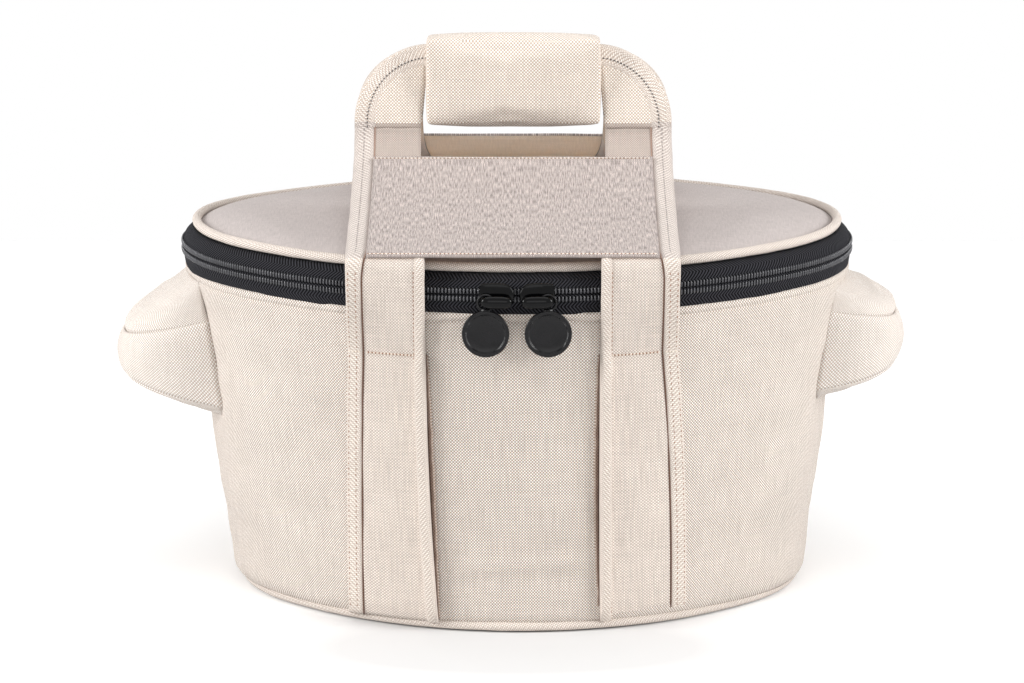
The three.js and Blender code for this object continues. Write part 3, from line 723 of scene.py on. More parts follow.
# The black nylon's colour is lifted to dark grey: partly its own tone, partly painted highlight on the teeth
highlighted_nylon = moulded("black_nylon_painted_highlight", (66, 66, 70), 0.2, 0.3, 0.6)
blackened_metal = moulded("blackened_metal", (4, 4, 5), 0.05, 0.1, 0.16, relief=0.03)
zip_halves = [
    ("lower", "bag", lower_low.z - 0.0016, lower_high.z, (coil_low.z + coil_high.z) / 2),
    ("upper", "lid", upper_low.z, upper_high.z + 0.0007, upper_low.z + (coil_high.z - coil_low.z) / 2),
]
for half, body, foot, top, tooth_height in zip_halves:
    tape = make_piece(
        f"{half}_tape",
        settle(lay_tape(foot, top)),
        [zip_tape],
        body=body,
        replaces=[f"{half}_zip_tape"],
        thickness=TAPE_THICKNESS,
    )
    tape_width(foot, top)
    make_piece(
        f"{half}_teeth",
        settle(string_teeth(tooth_height)),
        [highlighted_nylon],
        body=body,
        replaces=[f"{half}_zip_coil"],
    )


def lay_hinge(u, v):
    share = mix(-HINGE_SHARE, HINGE_SHARE, u) % 1.0
    z = mix(hinge_low.z - 0.001, hinge_high.z + 0.001, v)
    pinch = 0.0009 * math.exp(-(((v - 0.5) / 0.06) ** 2))
    place = oval_point(rim_angle(share), pinch - zip_swell(z))
    return Vector((place.x, place.y, z))


hinge = make_piece(
    "lid_hinge_strip",
    settle(lay_cloth(60, 24, lay_hinge, lambda u, v: (HINGE_LENGTH * u, 0.02 * v))),
    [canvas],
    thickness=CANVAS_THICKNESS,
    replaces=["hinge_strip"],
)
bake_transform(hinge)


def round_edges(shape, edges, radius, segments=3, clamp=True):
    bmesh.ops.bevel(
        shape, geom=edges, offset=radius, offset_type="OFFSET", segments=segments, profile=0.5,
        affect="EDGES", clamp_overlap=clamp, material=-1,
    )


for hand in ("left", "right"):
    stop_low, stop_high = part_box(f"{hand}_zip_stop")
    stop_middle = (stop_low + stop_high) / 2
    stop_angle = math.atan2(stop_middle.y + FRONT_CENTRE, stop_middle.x)
    stop = bmesh.new()
    seat = Matrix.Translation(stop_middle) @ Matrix.Rotation(stop_angle - math.pi / 2, 4, "Z")
    bmesh.ops.create_cube(stop, size=1, matrix=seat @ Matrix.Diagonal((*STOP_SIZE, 1)))
    round_edges(stop, stop.edges[:], STOP_EDGE)
    make_piece(
        f"{hand}_coil_stop",
        settle(stop),
        [blackened_metal],
        body="bag",
        replaces=[f"{hand}_zip_stop"],
    )


# Lid: a padded oval with a smooth grey top panel, corded round its edge like the foot.
# The panel domes up inside the cord; foam and grey lining fill the underside.
lid_lining_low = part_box("lid_lining")[0]
lid_foam_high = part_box("lid_foam")[1]
LID_THICKNESS = 0.0012
LID_CORD_RADIUS = 0.0024
LID_CORD_INSET = TAPE_ROLL + 0.0018
LID_CORD_HEIGHT = 0.1950
LID_CROWN = 0.0054
LID_SHOULDER = 0.0030
GREY_YARN = 0.0006
grey_cloth = woven(
    "grey_panel_cloth", (204, 195, 191), (187, 176, 173), GREY_YARN,
    slub=0.14, relief=0.4, mottle=0.02, streak=0.08,
)


def lid_rise(x, y, v):
    dents = 0.0016 * noise.noise(Vector((13 * x, 13 * y, 9.4))) * (1 - v**6)
    dome = LID_CROWN * (1 - v**2.6) + LID_SHOULDER * (1 - v**14)
    return LID_CORD_HEIGHT + 0.0004 + dome + dents - 0.0016 * v**24


lid_panel = make_piece(
    "lid_top",
    settle(lay_oval(LID_CORD_INSET + 0.7 * LID_CORD_RADIUS, lid_rise, columns=200, rows=44)),
    [grey_cloth],
    body="lid",
    replaces=["lid_panel"],
    thickness=LID_THICKNESS,
)
make_piece(
    "lid_piping_cord",
    settle(lay_piping(LID_CORD_INSET, LID_CORD_HEIGHT, LID_CORD_RADIUS)),
    [piping_bias],
    body="lid",
    replaces=["lid_piping"],
)
lid_underside = make_piece(
    "lid_underside",
    settle(lay_pad(LID_CORD_INSET + 0.0006, lid_lining_low.z, lid_foam_high.z, 0.001)),
    [lining_cloth],
    body="lid",
    replaces=["lid_lining", "lid_foam"],
)


# Straps: four lengths of smooth twill, sewn up the wall to a bar stitch and then free over the zip.
# Past a crease at the rim each runs on as the inclined leg of a handle, where the cloth is greyer.
STRAP_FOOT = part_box("front_left_strap")[0].z - 0.0012
BAR_STITCH = 0.1495
CREASE_OUT = 0.136
CREASE_HEIGHT = 0.2003
WEB_PULL = Vector((0.020, 0.2253))
WEB_END = Vector((0.020, 0.2463))
STRAP_STAND = 0.0018
STRAP_FACE = 0.0005
STRAP_CLOTH = 0.0018
STRAP_WIDTH = 0.039
STRAP_INNER = 0.0436
STRAP_OUTER = 0.0820
SLOT_HALF_WIDTH = 0.048
STRAP_LEAN = {"left": 0.0052, "right": -0.0012}
STRAP_FLARE = {"left": 0.0022, "right": 0.0065}
STRAP_CURL = 0.006
STRAP_TUCK = 0.0032
STRAP_TUCK_RUN = 0.010
HANDLE_SHIFT = -0.0020
SEWN_RUN = BAR_STITCH - STRAP_FOOT
CREASE_RUN = SEWN_RUN + CREASE_HEIGHT - BAR_STITCH
CREASE_SOFTNESS = 0.0045
TWILL_YARN = 0.00080
LEG_YARN = 0.0007
THIN_WEIGHT = 0.9
THIN_RADIUS = (1.0, 0.78, 0.63)
THIN_REACH = 0.008

web_shares = np.linspace(0, 1, 200)[:, None]
web_points = (
    (1 - web_shares) ** 2 * np.array((CREASE_OUT, CREASE_HEIGHT))
    + 2 * web_shares * (1 - web_shares) * np.array(WEB_PULL)
    + web_shares**2 * np.array(WEB_END)
)
web_runs = np.concatenate(([0], np.cumsum(np.linalg.norm(np.diff(web_points, axis=0), axis=1))))
WEB_LENGTH = float(web_runs[-1])
LEG_RUN = CREASE_RUN + WEB_LENGTH

strap_twill = woven("strap_twill", (248, 239, 230), (198, 181, 169), TWILL_YARN, slub=0.13, gap=0.17)
strap_grey = woven(
    "strap_grey", (204, 192, 183), (163, 148, 139), LEG_YARN, slub=0.09, gap=0.1, relief=0.45, mottle=0.02
)
# The cloth at the back of the handles is thin enough to let some light through from the other side
# Its colour is painted paler and warmer than the cloth itself: painted light standing in for that glow
handle_back_painted_light = woven("handle_back_painted_light", (252, 230, 215), (240, 206, 185), LEG_YARN)
thin_cloth = handle_back_painted_light.node_tree.nodes["Principled BSDF"]
thin_cloth.inputs["Subsurface Weight"].default_value = THIN_WEIGHT
thin_cloth.inputs["Subsurface Radius"].default_value = THIN_RADIUS
thin_cloth.inputs["Subsurface Scale"].default_value = THIN_REACH


def wall_out(x, z):
    return math.sqrt((FRONT_RADIUS - wall_inset(z)) ** 2 - x**2) - FRONT_CENTRE


# Side view of a strap, as how far out and how high it is after a run from the foot
def strap_course(x, run):
    if run < SEWN_RUN:
        z = STRAP_FOOT + run
        tuck = STRAP_TUCK * max(0.0, 1 - run / STRAP_TUCK_RUN) ** 2
        return Vector((wall_out(x, z) + STRAP_STAND - tuck, z))
    if run < CREASE_RUN:
        share = (run - SEWN_RUN) / (CREASE_RUN - SEWN_RUN)
        start = wall_out(x, BAR_STITCH) + STRAP_STAND
        return Vector((
            mix(start, CREASE_OUT, math.sin(share * math.pi / 2)),
            mix(BAR_STITCH, CREASE_HEIGHT, share),
        ))
    if run < LEG_RUN:
        out = np.interp(run - CREASE_RUN, web_runs, web_points[:, 0])
        return Vector((out, np.interp(run - CREASE_RUN, web_runs, web_points[:, 1])))
    return Vector((WEB_END.x, WEB_END.y + run - LEG_RUN))


# The same, with the crease bent round softly
def soft_course(x, run):
    if abs(run - CREASE_RUN) > 1.5 * CREASE_SOFTNESS:
        return strap_course(x, run)
    spread = [strap_course(x, run + CREASE_SOFTNESS * step / 3) for step in range(-3, 4)]
    return sum(spread, Vector((0, 0))) / len(spread)


def on_strap(side, hand, x, run, lift):
    def place(x, run):
        course = soft_course(x, run)
        return Vector((hand * x + HANDLE_SHIFT, side * course.x, course.y))

    step = 0.0004
    along = place(x, run + step) - place(x, run - step)
    across = place(x + step, run) - place(x - step, run)
    normal = along.cross(across).normalized()
    if normal.dot(Vector((0, side, 0.2))) < 0:
        normal.negate()
    return place(x, run) + normal * lift


def strap_inner(edge, run):
    if run < SEWN_RUN:
        return STRAP_INNER - STRAP_LEAN[edge] * (1 - run / SEWN_RUN) ** 2
    return mix(STRAP_INNER, SLOT_HALF_WIDTH, ease((run - CREASE_RUN) / WEB_LENGTH))


def strap_outer(edge, run):
    return STRAP_OUTER + STRAP_FLARE[edge] * max(0.0, 1 - (run / SEWN_RUN) ** 2)


# One where the strap is sewn to the wall, falling to nothing above the bar stitch
def strap_sewn(run):
    return ease((SEWN_RUN + 0.004 - run) / 0.008)


# The part of a leg past the crease takes the second of its materials
def grey_above_crease(shape, rows, columns):
    shape.faces.ensure_lookup_table()
    for index, face in enumerate(shape.faces):
        if LEG_RUN * (index // columns + 0.5) / rows > CREASE_RUN + 0.001:
            face.material_index = 1


def bend_at_crease(piece):
    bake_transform(piece)


handles = [("front", -1), ("rear", 1)]
hands = [("left", -1), ("right", 1)]
STRAP_ROWS = 150
STRAP_COLUMNS = 14
for face, side in handles:
    for edge, hand in hands:
        def lay_strap(u, v):
            run = v * LEG_RUN
            x = mix(strap_inner(edge, run), strap_outer(edge, run), u)
            slack = 0.0004 * noise.noise(Vector((60 * hand * x, 35 * run, 3 * side)))
            curl = 0.0018 * ease(1 - (x - strap_inner(edge, run)) / STRAP_CURL) * strap_sewn(run)
            return on_strap(side, hand, x, run, STRAP_FACE + slack + curl)

        shape = lay_cloth(STRAP_COLUMNS, STRAP_ROWS, lay_strap, lambda u, v: (STRAP_WIDTH * u, LEG_RUN * v))
        face_outwards(shape, Vector((0, side, 0.4)))
        grey_above_crease(shape, STRAP_ROWS, STRAP_COLUMNS)
        # The grey part's underside takes the handle back's paler cloth: painted light
        strap = make_piece(
            f"{face}_{edge}_leg",
            shape,
            [strap_twill, strap_grey, handle_back_painted_light],
            replaces=[f"{face}_{edge}_strap", f"{face}_{edge}_strap_bridge", f"{face}_{edge}_web"],
            thickness=STRAP_CLOTH,
        )
        strap.modifiers["thickness"].material_offset = 1
        bend_at_crease(strap)


# Bindings: a folded tape sewn round each strap's outer edge, and a rolled hem on its inner edge.
# Stitches sink into the tape; a dark cord in each tape's fold and a strip on the wall beside each hem are
# painted shade.
BINDING_WIDTH = 0.0080
WEB_BINDING_WIDTH = 0.0106
BINDING_PROUD = 0.0006
BINDING_FRONT = 0.0011
BINDING_BACK = -0.0020
STITCH_GROOVE = 0.0002
STITCH_PITCH = 0.0029
STITCH_LENGTH = 0.0014
SHORT_STITCH = 0.0013
NEEDLE_HOLE = 0.0007
STEP_AHEAD = 0.0005
STEP_OUT = 0.001
HEM_WIDTH = 0.0052
HEM_FRONT = (0.0013, 0.0036)
HEM_BACK = (-0.0020, 0.0002)
FOLD_SHADE_RADIUS = 0.00045
FOLD_SHADE_COLUMNS = 6
BINDING_YARN = 0.00068
BINDING_SPAN = 0.02
HEM_SPAN = 0.015
SHADE_WIDTH = 0.0060
SHADE_SHOWN = 0.0030
SHADE_LIFT = {"front": 0.0010, "rear": 0.0012}
binding_cream = woven("binding_cream", (250, 242, 233), (200, 182, 169), BINDING_YARN, turn=0.35, slub=0.09)
binding_grey = woven("binding_grey", (234, 225, 218), (182, 168, 160), BINDING_YARN, turn=0.35, slub=0.09)
# The dark brown cord in the fold beside each tape is painted shade of that crease
fold_painted_shade = woven("fold_painted_shade", (132, 100, 85), (88, 65, 54), LEG_YARN)
# Three brown tones for a strip on the wall beside each hem, darkest next to it: painted shade of the gap
# under the rolled hem
hem_painted_shades = [
    woven("hem_painted_shade_pale", (214, 197, 184), (150, 128, 114), CANVAS_YARN),
    woven("hem_painted_shade_mid", (156, 131, 117), (112, 91, 80), CANVAS_YARN),
    woven("hem_painted_shade_dark", (110, 88, 76), (76, 59, 51), CANVAS_YARN),
]
# The same painted shade for the fold where the leg cloth is greyer
web_fold_painted_shade = woven("web_fold_painted_shade", (186, 158, 143), (150, 124, 110), LEG_YARN)


def binding_width(run):
    return mix(BINDING_WIDTH, WEB_BINDING_WIDTH, ease((run - CREASE_RUN + 0.012) / 0.024))


# Section of a folded tape: how far in from the edge, and how far off the strap's middle
def binding_section(share, width, front, back, groove):
    turn = 2 * math.pi * share
    c, s = math.cos(turn), math.sin(turn)
    inward = width / 2 * (1 - math.copysign(abs(c) ** 0.5, c))
    lift = (front + back) / 2 + (front - back) / 2 * math.copysign(abs(s) ** 0.5, s)
    if s > 0:
        lift -= groove * math.exp(-(((inward / width - 0.48) / 0.1) ** 2))
    return inward, lift


# Joins the long edges of a rolled tape and closes its ends
def close_tube(shape):
    bmesh.ops.remove_doubles(shape, verts=shape.verts, dist=1e-6)
    open_edges = [edge for edge in shape.edges if edge.is_boundary]
    bmesh.ops.holes_fill(shape, edges=open_edges, sides=0)
    bmesh.ops.recalc_face_normals(shape, faces=shape.faces)


# Seats for stitches along a path that gives place, direction and normal at each share of the way
def sew(path, count, length, width=0.0006):
    seats = []
    for step in range(count):
        place, along, normal = path((step + 0.5) / count)
        along = along.normalized()
        across = normal.cross(along).normalized()
        up = along.cross(across)
        axes = Matrix((along * length, across * width, up * 0.8 * width)).transposed().to_4x4()
        seats.append(Matrix.Translation(place) @ axes)
    return seats


def thread_material(name, colour):
    material, tree, surface = new_finish(name)
    twist = grain(tree, 2600.0, 2.0)
    dye(tree, surface, tint(colour), remap(tree, twist, 0.3, 0.7, 0.8, 1.1))
    emboss(tree, surface, twist, 0.4, 0.0002)
    surface.inputs["Roughness"].default_value = 0.7
    surface.inputs["Sheen Weight"].default_value = 0.2
    return material


cream_thread = thread_material("cream_thread", (246, 234, 220))
# The same brown serves the ear seams, and on the legs and panels it is painted shade where the cream thread
# sinks into the cloth
brown_thread_and_painted_shade = thread_material("brown_thread_and_painted_shade", (158, 118, 92))
dark_thread = thread_material("dark_thread", (70, 66, 66))
grey_thread = thread_material("grey_thread", (150, 142, 138))


def strap_path(side, hand, x_at, start, end, lift):
    def path(share):
        run = mix(start, end, share)
        place = on_strap(side, hand, x_at(run), run, lift)
        ahead = on_strap(side, hand, x_at(run + STEP_AHEAD), run + STEP_AHEAD, lift)
        lifted = on_strap(side, hand, x_at(run), run, lift + STEP_OUT)
        return place, ahead - place, lifted - place

    return path


def across_path(side, hand, start, end, run, lift):
    def path(share):
        x = mix(start, end, share)
        place = on_strap(side, hand, x, run, lift)
        lifted = on_strap(side, hand, x, run, lift + STEP_OUT)
        return place, on_strap(side, hand, x + STEP_AHEAD, run, lift) - place, lifted - place

    return path


BINDING_ROWS = 170
BINDING_COLUMNS = 20
SHADE_ROWS = 90
SHADE_COLUMNS = 6
HEM_RUN = CREASE_RUN + 0.002
ROW_START = 0.004
ROW_END = CREASE_RUN - 0.006
ROW_STITCHES = round((ROW_END - ROW_START) / STITCH_PITCH)
HEM_STITCHES = 78
BAR_START = 0.047
BAR_STITCHES = 15
BAR_THREAD = 0.0010
UPPER_STITCHES = 46
for face, side in handles:
    for edge, hand in hands:
        def lay_binding(u, v):
            run = v * LEG_RUN
            inward, lift = binding_section(u, binding_width(run), BINDING_FRONT, BINDING_BACK, STITCH_GROOVE)
            waver = 0.0003 * noise.noise(Vector((70 * run, hand, 4 * side)))
            return on_strap(side, hand, strap_outer(edge, run) + BINDING_PROUD - inward + waver, run, lift)

        shape = lay_cloth(
            BINDING_COLUMNS, BINDING_ROWS, lay_binding, lambda u, v: (BINDING_SPAN * u, LEG_RUN * v)
        )
        grey_above_crease(shape, BINDING_ROWS, BINDING_COLUMNS)
        close_tube(shape)
        binding = make_piece(
            f"{face}_{edge}_leg_binding", shape, [binding_cream, binding_grey]
        )
        bend_at_crease(binding)

        def fold_x(run):
            return strap_outer(edge, run) + BINDING_PROUD - binding_width(run) - 0.0001

        # A thin dark tube laid along the tape's inner fold: painted shade of the crease there
        def lay_fold_shade(u, v):
            run = v * LEG_RUN
            turn = 2 * math.pi * u
            x = fold_x(run) + FOLD_SHADE_RADIUS * math.cos(turn)
            return on_strap(side, hand, x, run, STRAP_FACE + FOLD_SHADE_RADIUS * math.sin(turn))

        shape = lay_cloth(FOLD_SHADE_COLUMNS, BINDING_ROWS, lay_fold_shade, lambda u, v: (0.003 * u, LEG_RUN * v))
        grey_above_crease(shape, BINDING_ROWS, FOLD_SHADE_COLUMNS)
        close_tube(shape)
        fold = make_piece(f"{face}_{edge}_leg_fold_shade", shape, [fold_painted_shade, web_fold_painted_shade])
        bend_at_crease(fold)

        def lay_hem(u, v):
            run = v * HEM_RUN
            rolled = strap_sewn(run) * ease(0.3 + run / 0.016)
            inward, lift = binding_section(u, HEM_WIDTH, mix(*HEM_FRONT, rolled), mix(*HEM_BACK, rolled), 0)
            waver = 0.0004 * noise.noise(Vector((60 * run, 5 + hand, 4 * side)))
            return on_strap(side, hand, strap_inner(edge, run) + inward + waver, run, lift)

        shape = lay_cloth(16, 130, lay_hem, lambda u, v: (HEM_SPAN * u, HEM_RUN * v))
        close_tube(shape)
        hem = make_piece(f"{face}_{edge}_leg_hem", shape, [binding_cream])
        bend_at_crease(hem)

        # A strip laid on the wall beside the hem, its darkest columns nearest the hem: painted shade under
        # the rolled edge
        def lay_hem_shade(u, v):
            run = v * SEWN_RUN
            shown = SHADE_SHOWN * math.sin(math.pi * (0.1 + 0.75 * v))
            x = strap_inner(edge, run) + mix(-shown, SHADE_WIDTH - SHADE_SHOWN, u)
            ragged = 0.0005 * noise.noise(Vector((150 * run, 9 + hand, 4 * side))) * (1 - u)
            return on_strap(side, hand, x + ragged, run, SHADE_LIFT[face] - STRAP_STAND)

        shape = lay_cloth(
            SHADE_COLUMNS, SHADE_ROWS, lay_hem_shade, lambda u, v: (SHADE_WIDTH * u, SEWN_RUN * v)
        )
        shape.faces.ensure_lookup_table()
        for index, part in enumerate(shape.faces):
            part.material_index = min(2, index % SHADE_COLUMNS)
        face_outwards(shape, Vector((0, side, 0)))
        make_piece(
            f"{face}_{edge}_hem_tape", shape, hem_painted_shades, body="bag", thickness=0.0004
        )

        # The brown beads are painted shade where the thread sinks into the cloth: rows in the tape, the hem
        # row and the needle holes
        cream, brown = [], []
        for share in (0.16, 0.62):
            row = strap_path(
                side, hand, lambda run: strap_outer(edge, run) + BINDING_PROUD - share * binding_width(run),
                ROW_START, ROW_END, BINDING_FRONT - 0.0001,
            )
            brown += sew(row, ROW_STITCHES, STITCH_LENGTH)
        hem_row = strap_path(
            side, hand, lambda run: strap_inner(edge, run) + HEM_WIDTH + 0.0003,
            ROW_START, ROW_END, STRAP_FACE + 0.0002,
        )
        brown += sew(hem_row, HEM_STITCHES, SHORT_STITCH, 0.0005)
        bar = across_path(side, hand, BAR_START, fold_x(SEWN_RUN) - 0.001, SEWN_RUN, STRAP_FACE + 0.0002)
        bar_end = across_path(side, hand, fold_x(SEWN_RUN) + 0.001, STRAP_OUTER, SEWN_RUN, BINDING_FRONT)
        cream += sew(bar, BAR_STITCHES, SHORT_STITCH, BAR_THREAD)
        cream += sew(bar_end, 4, SHORT_STITCH, BAR_THREAD)
        brown += sew(lambda share: bar(share - 0.5 / BAR_STITCHES), BAR_STITCHES, NEEDLE_HOLE, 0.0013)
        upper_row = strap_path(
            side, hand, lambda run: STRAP_OUTER + BINDING_PROUD - 0.48 * binding_width(run),
            CREASE_RUN + 0.006, LEG_RUN, BINDING_FRONT - STITCH_GROOVE + 0.0001,
        )
        grey = sew(upper_row, UPPER_STITCHES, 0.0017)
        for kind, stitches, thread in (
            ("", cream, cream_thread), ("_needle", brown, brown_thread_and_painted_shade), ("_upper", grey, grey_thread)
        ):
            seam = make_piece(
                f"{face}_{edge}_leg{kind}_stitches", string_beads(stitches), [thread]
            )
            bend_at_crease(seam)


# Arches: the upright head of each handle, cut from canvas with a slot for the hand.
# Its edge is bound with the same tape, stitched in a darker thread; the bar over the slot goes into the grip.
arch_low, arch_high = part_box("front_arch")
ARCH_TOP = arch_high.z - 0.0012
ARCH_FOOT = arch_low.z - 0.0010
ARCH_TOP_OUT = 0.0088
ARCH_CORNER = 0.039
SLOT_TOP = 0.2791
SLOT_TOP_HALF_WIDTH = 0.0450
REAR_ARCH_DROP = 0.0030
GREY_TOP = ARCH_FOOT + 0.0032
ARCH_BINDING = 0.0112
ARCH_BINDING_SPAN = 0.024
ARCH_STITCHES = 96
ARCH_STRAIGHT = STRAP_OUTER - ARCH_CORNER
ARCH_ROUND = ARCH_CORNER * math.pi / 2
ARCH_HALF = ARCH_STRAIGHT + ARCH_ROUND + ARCH_TOP - ARCH_CORNER - ARCH_FOOT
SLOT_CORNER = (ARCH_STRAIGHT + ARCH_ROUND / 2) / ARCH_HALF
arch_canvas = woven("arch_canvas", (255, 251, 244), (204, 180, 160), CANVAS_YARN)


# Outer edge of the arch across and up, and the direction in from it, from the left foot to the right one
def arch_edge(share):
    hand = 1 if share > 0.5 else -1
    run = abs(2 * share - 1) * ARCH_HALF
    if run < ARCH_STRAIGHT:
        return Vector((hand * run, ARCH_TOP)), Vector((0, -1))
    if run < ARCH_STRAIGHT + ARCH_ROUND:
        turn = (run - ARCH_STRAIGHT) / ARCH_CORNER
        spoke = Vector((hand * math.sin(turn), math.cos(turn)))
        return Vector((hand * ARCH_STRAIGHT, ARCH_TOP - ARCH_CORNER)) + ARCH_CORNER * spoke, -spoke
    drop = run - ARCH_STRAIGHT - ARCH_ROUND
    return Vector((hand * STRAP_OUTER, ARCH_TOP - ARCH_CORNER - drop)), Vector((-hand, 0))


def slot_edge(share):
    hand = 1 if share > 0.5 else -1
    part = abs(2 * share - 1)
    if part < SLOT_CORNER:
        return Vector((hand * SLOT_TOP_HALF_WIDTH * part / SLOT_CORNER, SLOT_TOP))
    down = (part - SLOT_CORNER) / (1 - SLOT_CORNER)
    return Vector((hand * mix(SLOT_TOP_HALF_WIDTH, SLOT_HALF_WIDTH, down), mix(SLOT_TOP, ARCH_FOOT, down)))


def arch_flat(u, v):
    return slot_edge(v).lerp(arch_edge(v)[0], u)


# The head of the handle leans in to the grip
def on_arch(side, flat, lift):
    lean = max(0.0, (flat.y - ARCH_FOOT) / (ARCH_TOP - ARCH_FOOT)) ** 1.5
    drop = REAR_ARCH_DROP * lean if side > 0 else 0
    return Vector((flat.x + HANDLE_SHIFT, side * (mix(WEB_END.x, ARCH_TOP_OUT, lean) + lift), flat.y - drop))


# The foot of an arch is still grey like the legs below it
def grey_foot(shape):
    for face in shape.faces:
        if face.calc_center_median().z < GREY_TOP:
            face.material_index = 1


for face, side in handles:
    def lay_arch(u, v):
        flat = arch_flat(u, v)
        soft = 0.0004 * noise.noise(Vector((40 * flat.x, 40 * flat.y, side)))
        return on_arch(side, flat, STRAP_FACE + 0.0003 + soft)

    shape = lay_cloth(12, 160, lay_arch, arch_flat)
    face_outwards(shape, Vector((0, side, 0)))
    grey_foot(shape)
    arch = make_piece(
        f"{face}_arch_cloth",
        shape,
        [arch_canvas, strap_grey],
        body=f"{face}_handle",
        replaces=[f"{face}_arch"],
        thickness=STRAP_CLOTH,
    )

    def lay_arch_binding(u, v):
        edge, inwards = arch_edge(v)
        inward, lift = binding_section(u, ARCH_BINDING, BINDING_FRONT, BINDING_BACK, STITCH_GROOVE)
        return on_arch(side, edge + inwards * (inward - BINDING_PROUD), lift)

    shape = lay_cloth(
        BINDING_COLUMNS, 180, lay_arch_binding, lambda u, v: (ARCH_BINDING_SPAN * u, 2 * ARCH_HALF * v)
    )
    close_tube(shape)
    grey_foot(shape)
    make_piece(
        f"{face}_arch_binding", shape, [binding_cream, binding_grey], body=f"{face}_handle"
    )

    def arch_stitches(share):
        def at(share):
            edge, inwards = arch_edge(share)
            flat = edge + inwards * (0.6 * ARCH_BINDING - BINDING_PROUD)
            return on_arch(side, flat, BINDING_FRONT + 0.0001)

        return at(share), at(share + 0.001) - at(share - 0.001), Vector((0, side, 0))

    threads = string_beads(sew(arch_stitches, ARCH_STITCHES, SHORT_STITCH, 0.0007))
    make_piece(f"{face}_arch_stitches", threads, [dark_thread], body=f"{face}_handle")


# Cross panels: heathered grey cloth between the legs of each handle, hemmed above and below.
# Its upper and lower edges are sewn down with a running stitch; its front is plain.
PANEL_HALF_WIDTH = 0.0722
PANEL_START = CREASE_RUN + 0.0008
PANEL_END = CREASE_RUN + 0.83 * WEB_LENGTH
PANEL_LIFT = 0.0019
PANEL_RUN = PANEL_END - PANEL_START
PANEL_SAG = 0.0016
PANEL_CLOTH = 0.0013
PANEL_STITCHES = 72
PANEL_SEAM_LIFT = 0.0008
HEATHER_YARN = 0.00052
heather = woven(
    "heathered_panel", (214, 202, 196), (158, 146, 142), HEATHER_YARN,
    slub=0.60, gap=0.1, relief=0.45, mottle=0.02, streak=0.10, cross_slub=0.16,
)


def on_panel(side, x, run, lift):
    share = (run - PANEL_START) / PANEL_RUN
    sag = PANEL_SAG * (1 - (x / PANEL_HALF_WIDTH) ** 2) * math.sin(math.pi * share)
    return on_strap(side, 1, x, run, PANEL_LIFT + lift - sag)


for face, side in handles:
    def lay_panel(u, v):
        run = mix(PANEL_START, PANEL_END, v)
        x = mix(-PANEL_HALF_WIDTH, PANEL_HALF_WIDTH, u)
        hem = 0.0007 * (math.exp(-((v / 0.03) ** 4)) + math.exp(-(((1 - v) / 0.03) ** 4)))
        soft = 0.0004 * noise.noise(Vector((30 * x, 30 * run, 7 * side)))
        return on_panel(side, x, run, hem + soft)

    shape = lay_cloth(60, 90, lay_panel, lambda u, v: (2 * PANEL_HALF_WIDTH * u, PANEL_RUN * v))
    face_outwards(shape, Vector((0, side, 1)))
    # The panel's back takes the same paler cloth: painted light
    panel = make_piece(
        f"{face}_panel",
        shape,
        [heather, handle_back_painted_light],
        body=f"{face}_handle",
        replaces=[f"{face}_cross_panel"],
        thickness=PANEL_CLOTH,
    )
    panel.modifiers["thickness"].material_offset = 1
    # Brown beads between the cream stitches mark the needle holes: painted shade in them
    stitches, hole_shade_marks = [], []
    for run in (PANEL_START + 0.0012, PANEL_END - 0.0014):
        def panel_row(share):
            x = mix(-PANEL_HALF_WIDTH + 0.001, PANEL_HALF_WIDTH - 0.001, share)
            place = on_panel(side, x, run, PANEL_SEAM_LIFT)
            ahead = on_panel(side, x + STEP_AHEAD, run, PANEL_SEAM_LIFT)
            return place, ahead - place, on_panel(side, x, run, PANEL_SEAM_LIFT + STEP_OUT) - place

        half_step = 0.5 / PANEL_STITCHES
        stitches += sew(panel_row, PANEL_STITCHES, SHORT_STITCH, 0.0007)
        hole_shade_marks += sew(
            lambda share: panel_row(share - half_step), PANEL_STITCHES, NEEDLE_HOLE, 0.0008
        )
    seams = make_piece(
        f"{face}_panel_stitches", string_beads(stitches), [cream_thread],
        body=f"{face}_handle",
    )
    holes = make_piece(
        f"{face}_panel_hole_shade", string_beads(hole_shade_marks), [brown_thread_and_painted_shade],
        body=f"{face}_handle",
    )


# Grip pads: two stuffed halves of canvas round the bars of the arches, closed by hook and loop strips.
# Each is a box of canvas blown out by its filling, flat on top and rolled at its lower edge.
PAD_SQUEEZE = 0.0006
PAD_BACK = 0.0014
PAD_VOXEL = 0.0027
PAD_HANG = {"front": 0.0016, "rear": 0.0}
PAD_TRIM = {"front": Vector((0, 0, 0)), "rear": Vector((0, 0.006, 0.0045))}
PAD_PRESSURE = 4.0
PAD_SWELL = 0.0016
PAD_EDGE = 0.0035
PAD_YARN = 0.00086


# The stuffing pushes the cloth out: a short run of cloth with pressure, its travel capped
def stuff(piece):
    cells = piece.modifiers.new("cells", "REMESH")
    cells.mode = "VOXEL"
    cells.voxel_size = PAD_VOXEL
    bpy.context.view_layer.objects.active = piece
    bpy.ops.object.modifier_apply(modifier=cells.name)
    before = [vert.co.copy() for vert in piece.data.vertices]
    filling = piece.modifiers.new("filling", "CLOTH")
    filling.settings.use_pressure = True
    filling.settings.uniform_pressure_force = PAD_PRESSURE
    filling.settings.effector_weights.gravity = 0
    for step in range(1, 21):
        scene.frame_set(step)
    bpy.ops.object.modifier_apply(modifier=filling.name)
    scene.frame_set(1)
    for vert, start in zip(piece.data.vertices, before):
        travel = vert.co - start
        if travel.length > PAD_SWELL:
            vert.co = start + travel.normalized() * PAD_SWELL
    finish = piece.modifiers.new("finish", "SUBSURF")
    finish.levels = 2
    finish.render_levels = 2
    bpy.ops.object.modifier_apply(modifier=finish.name)


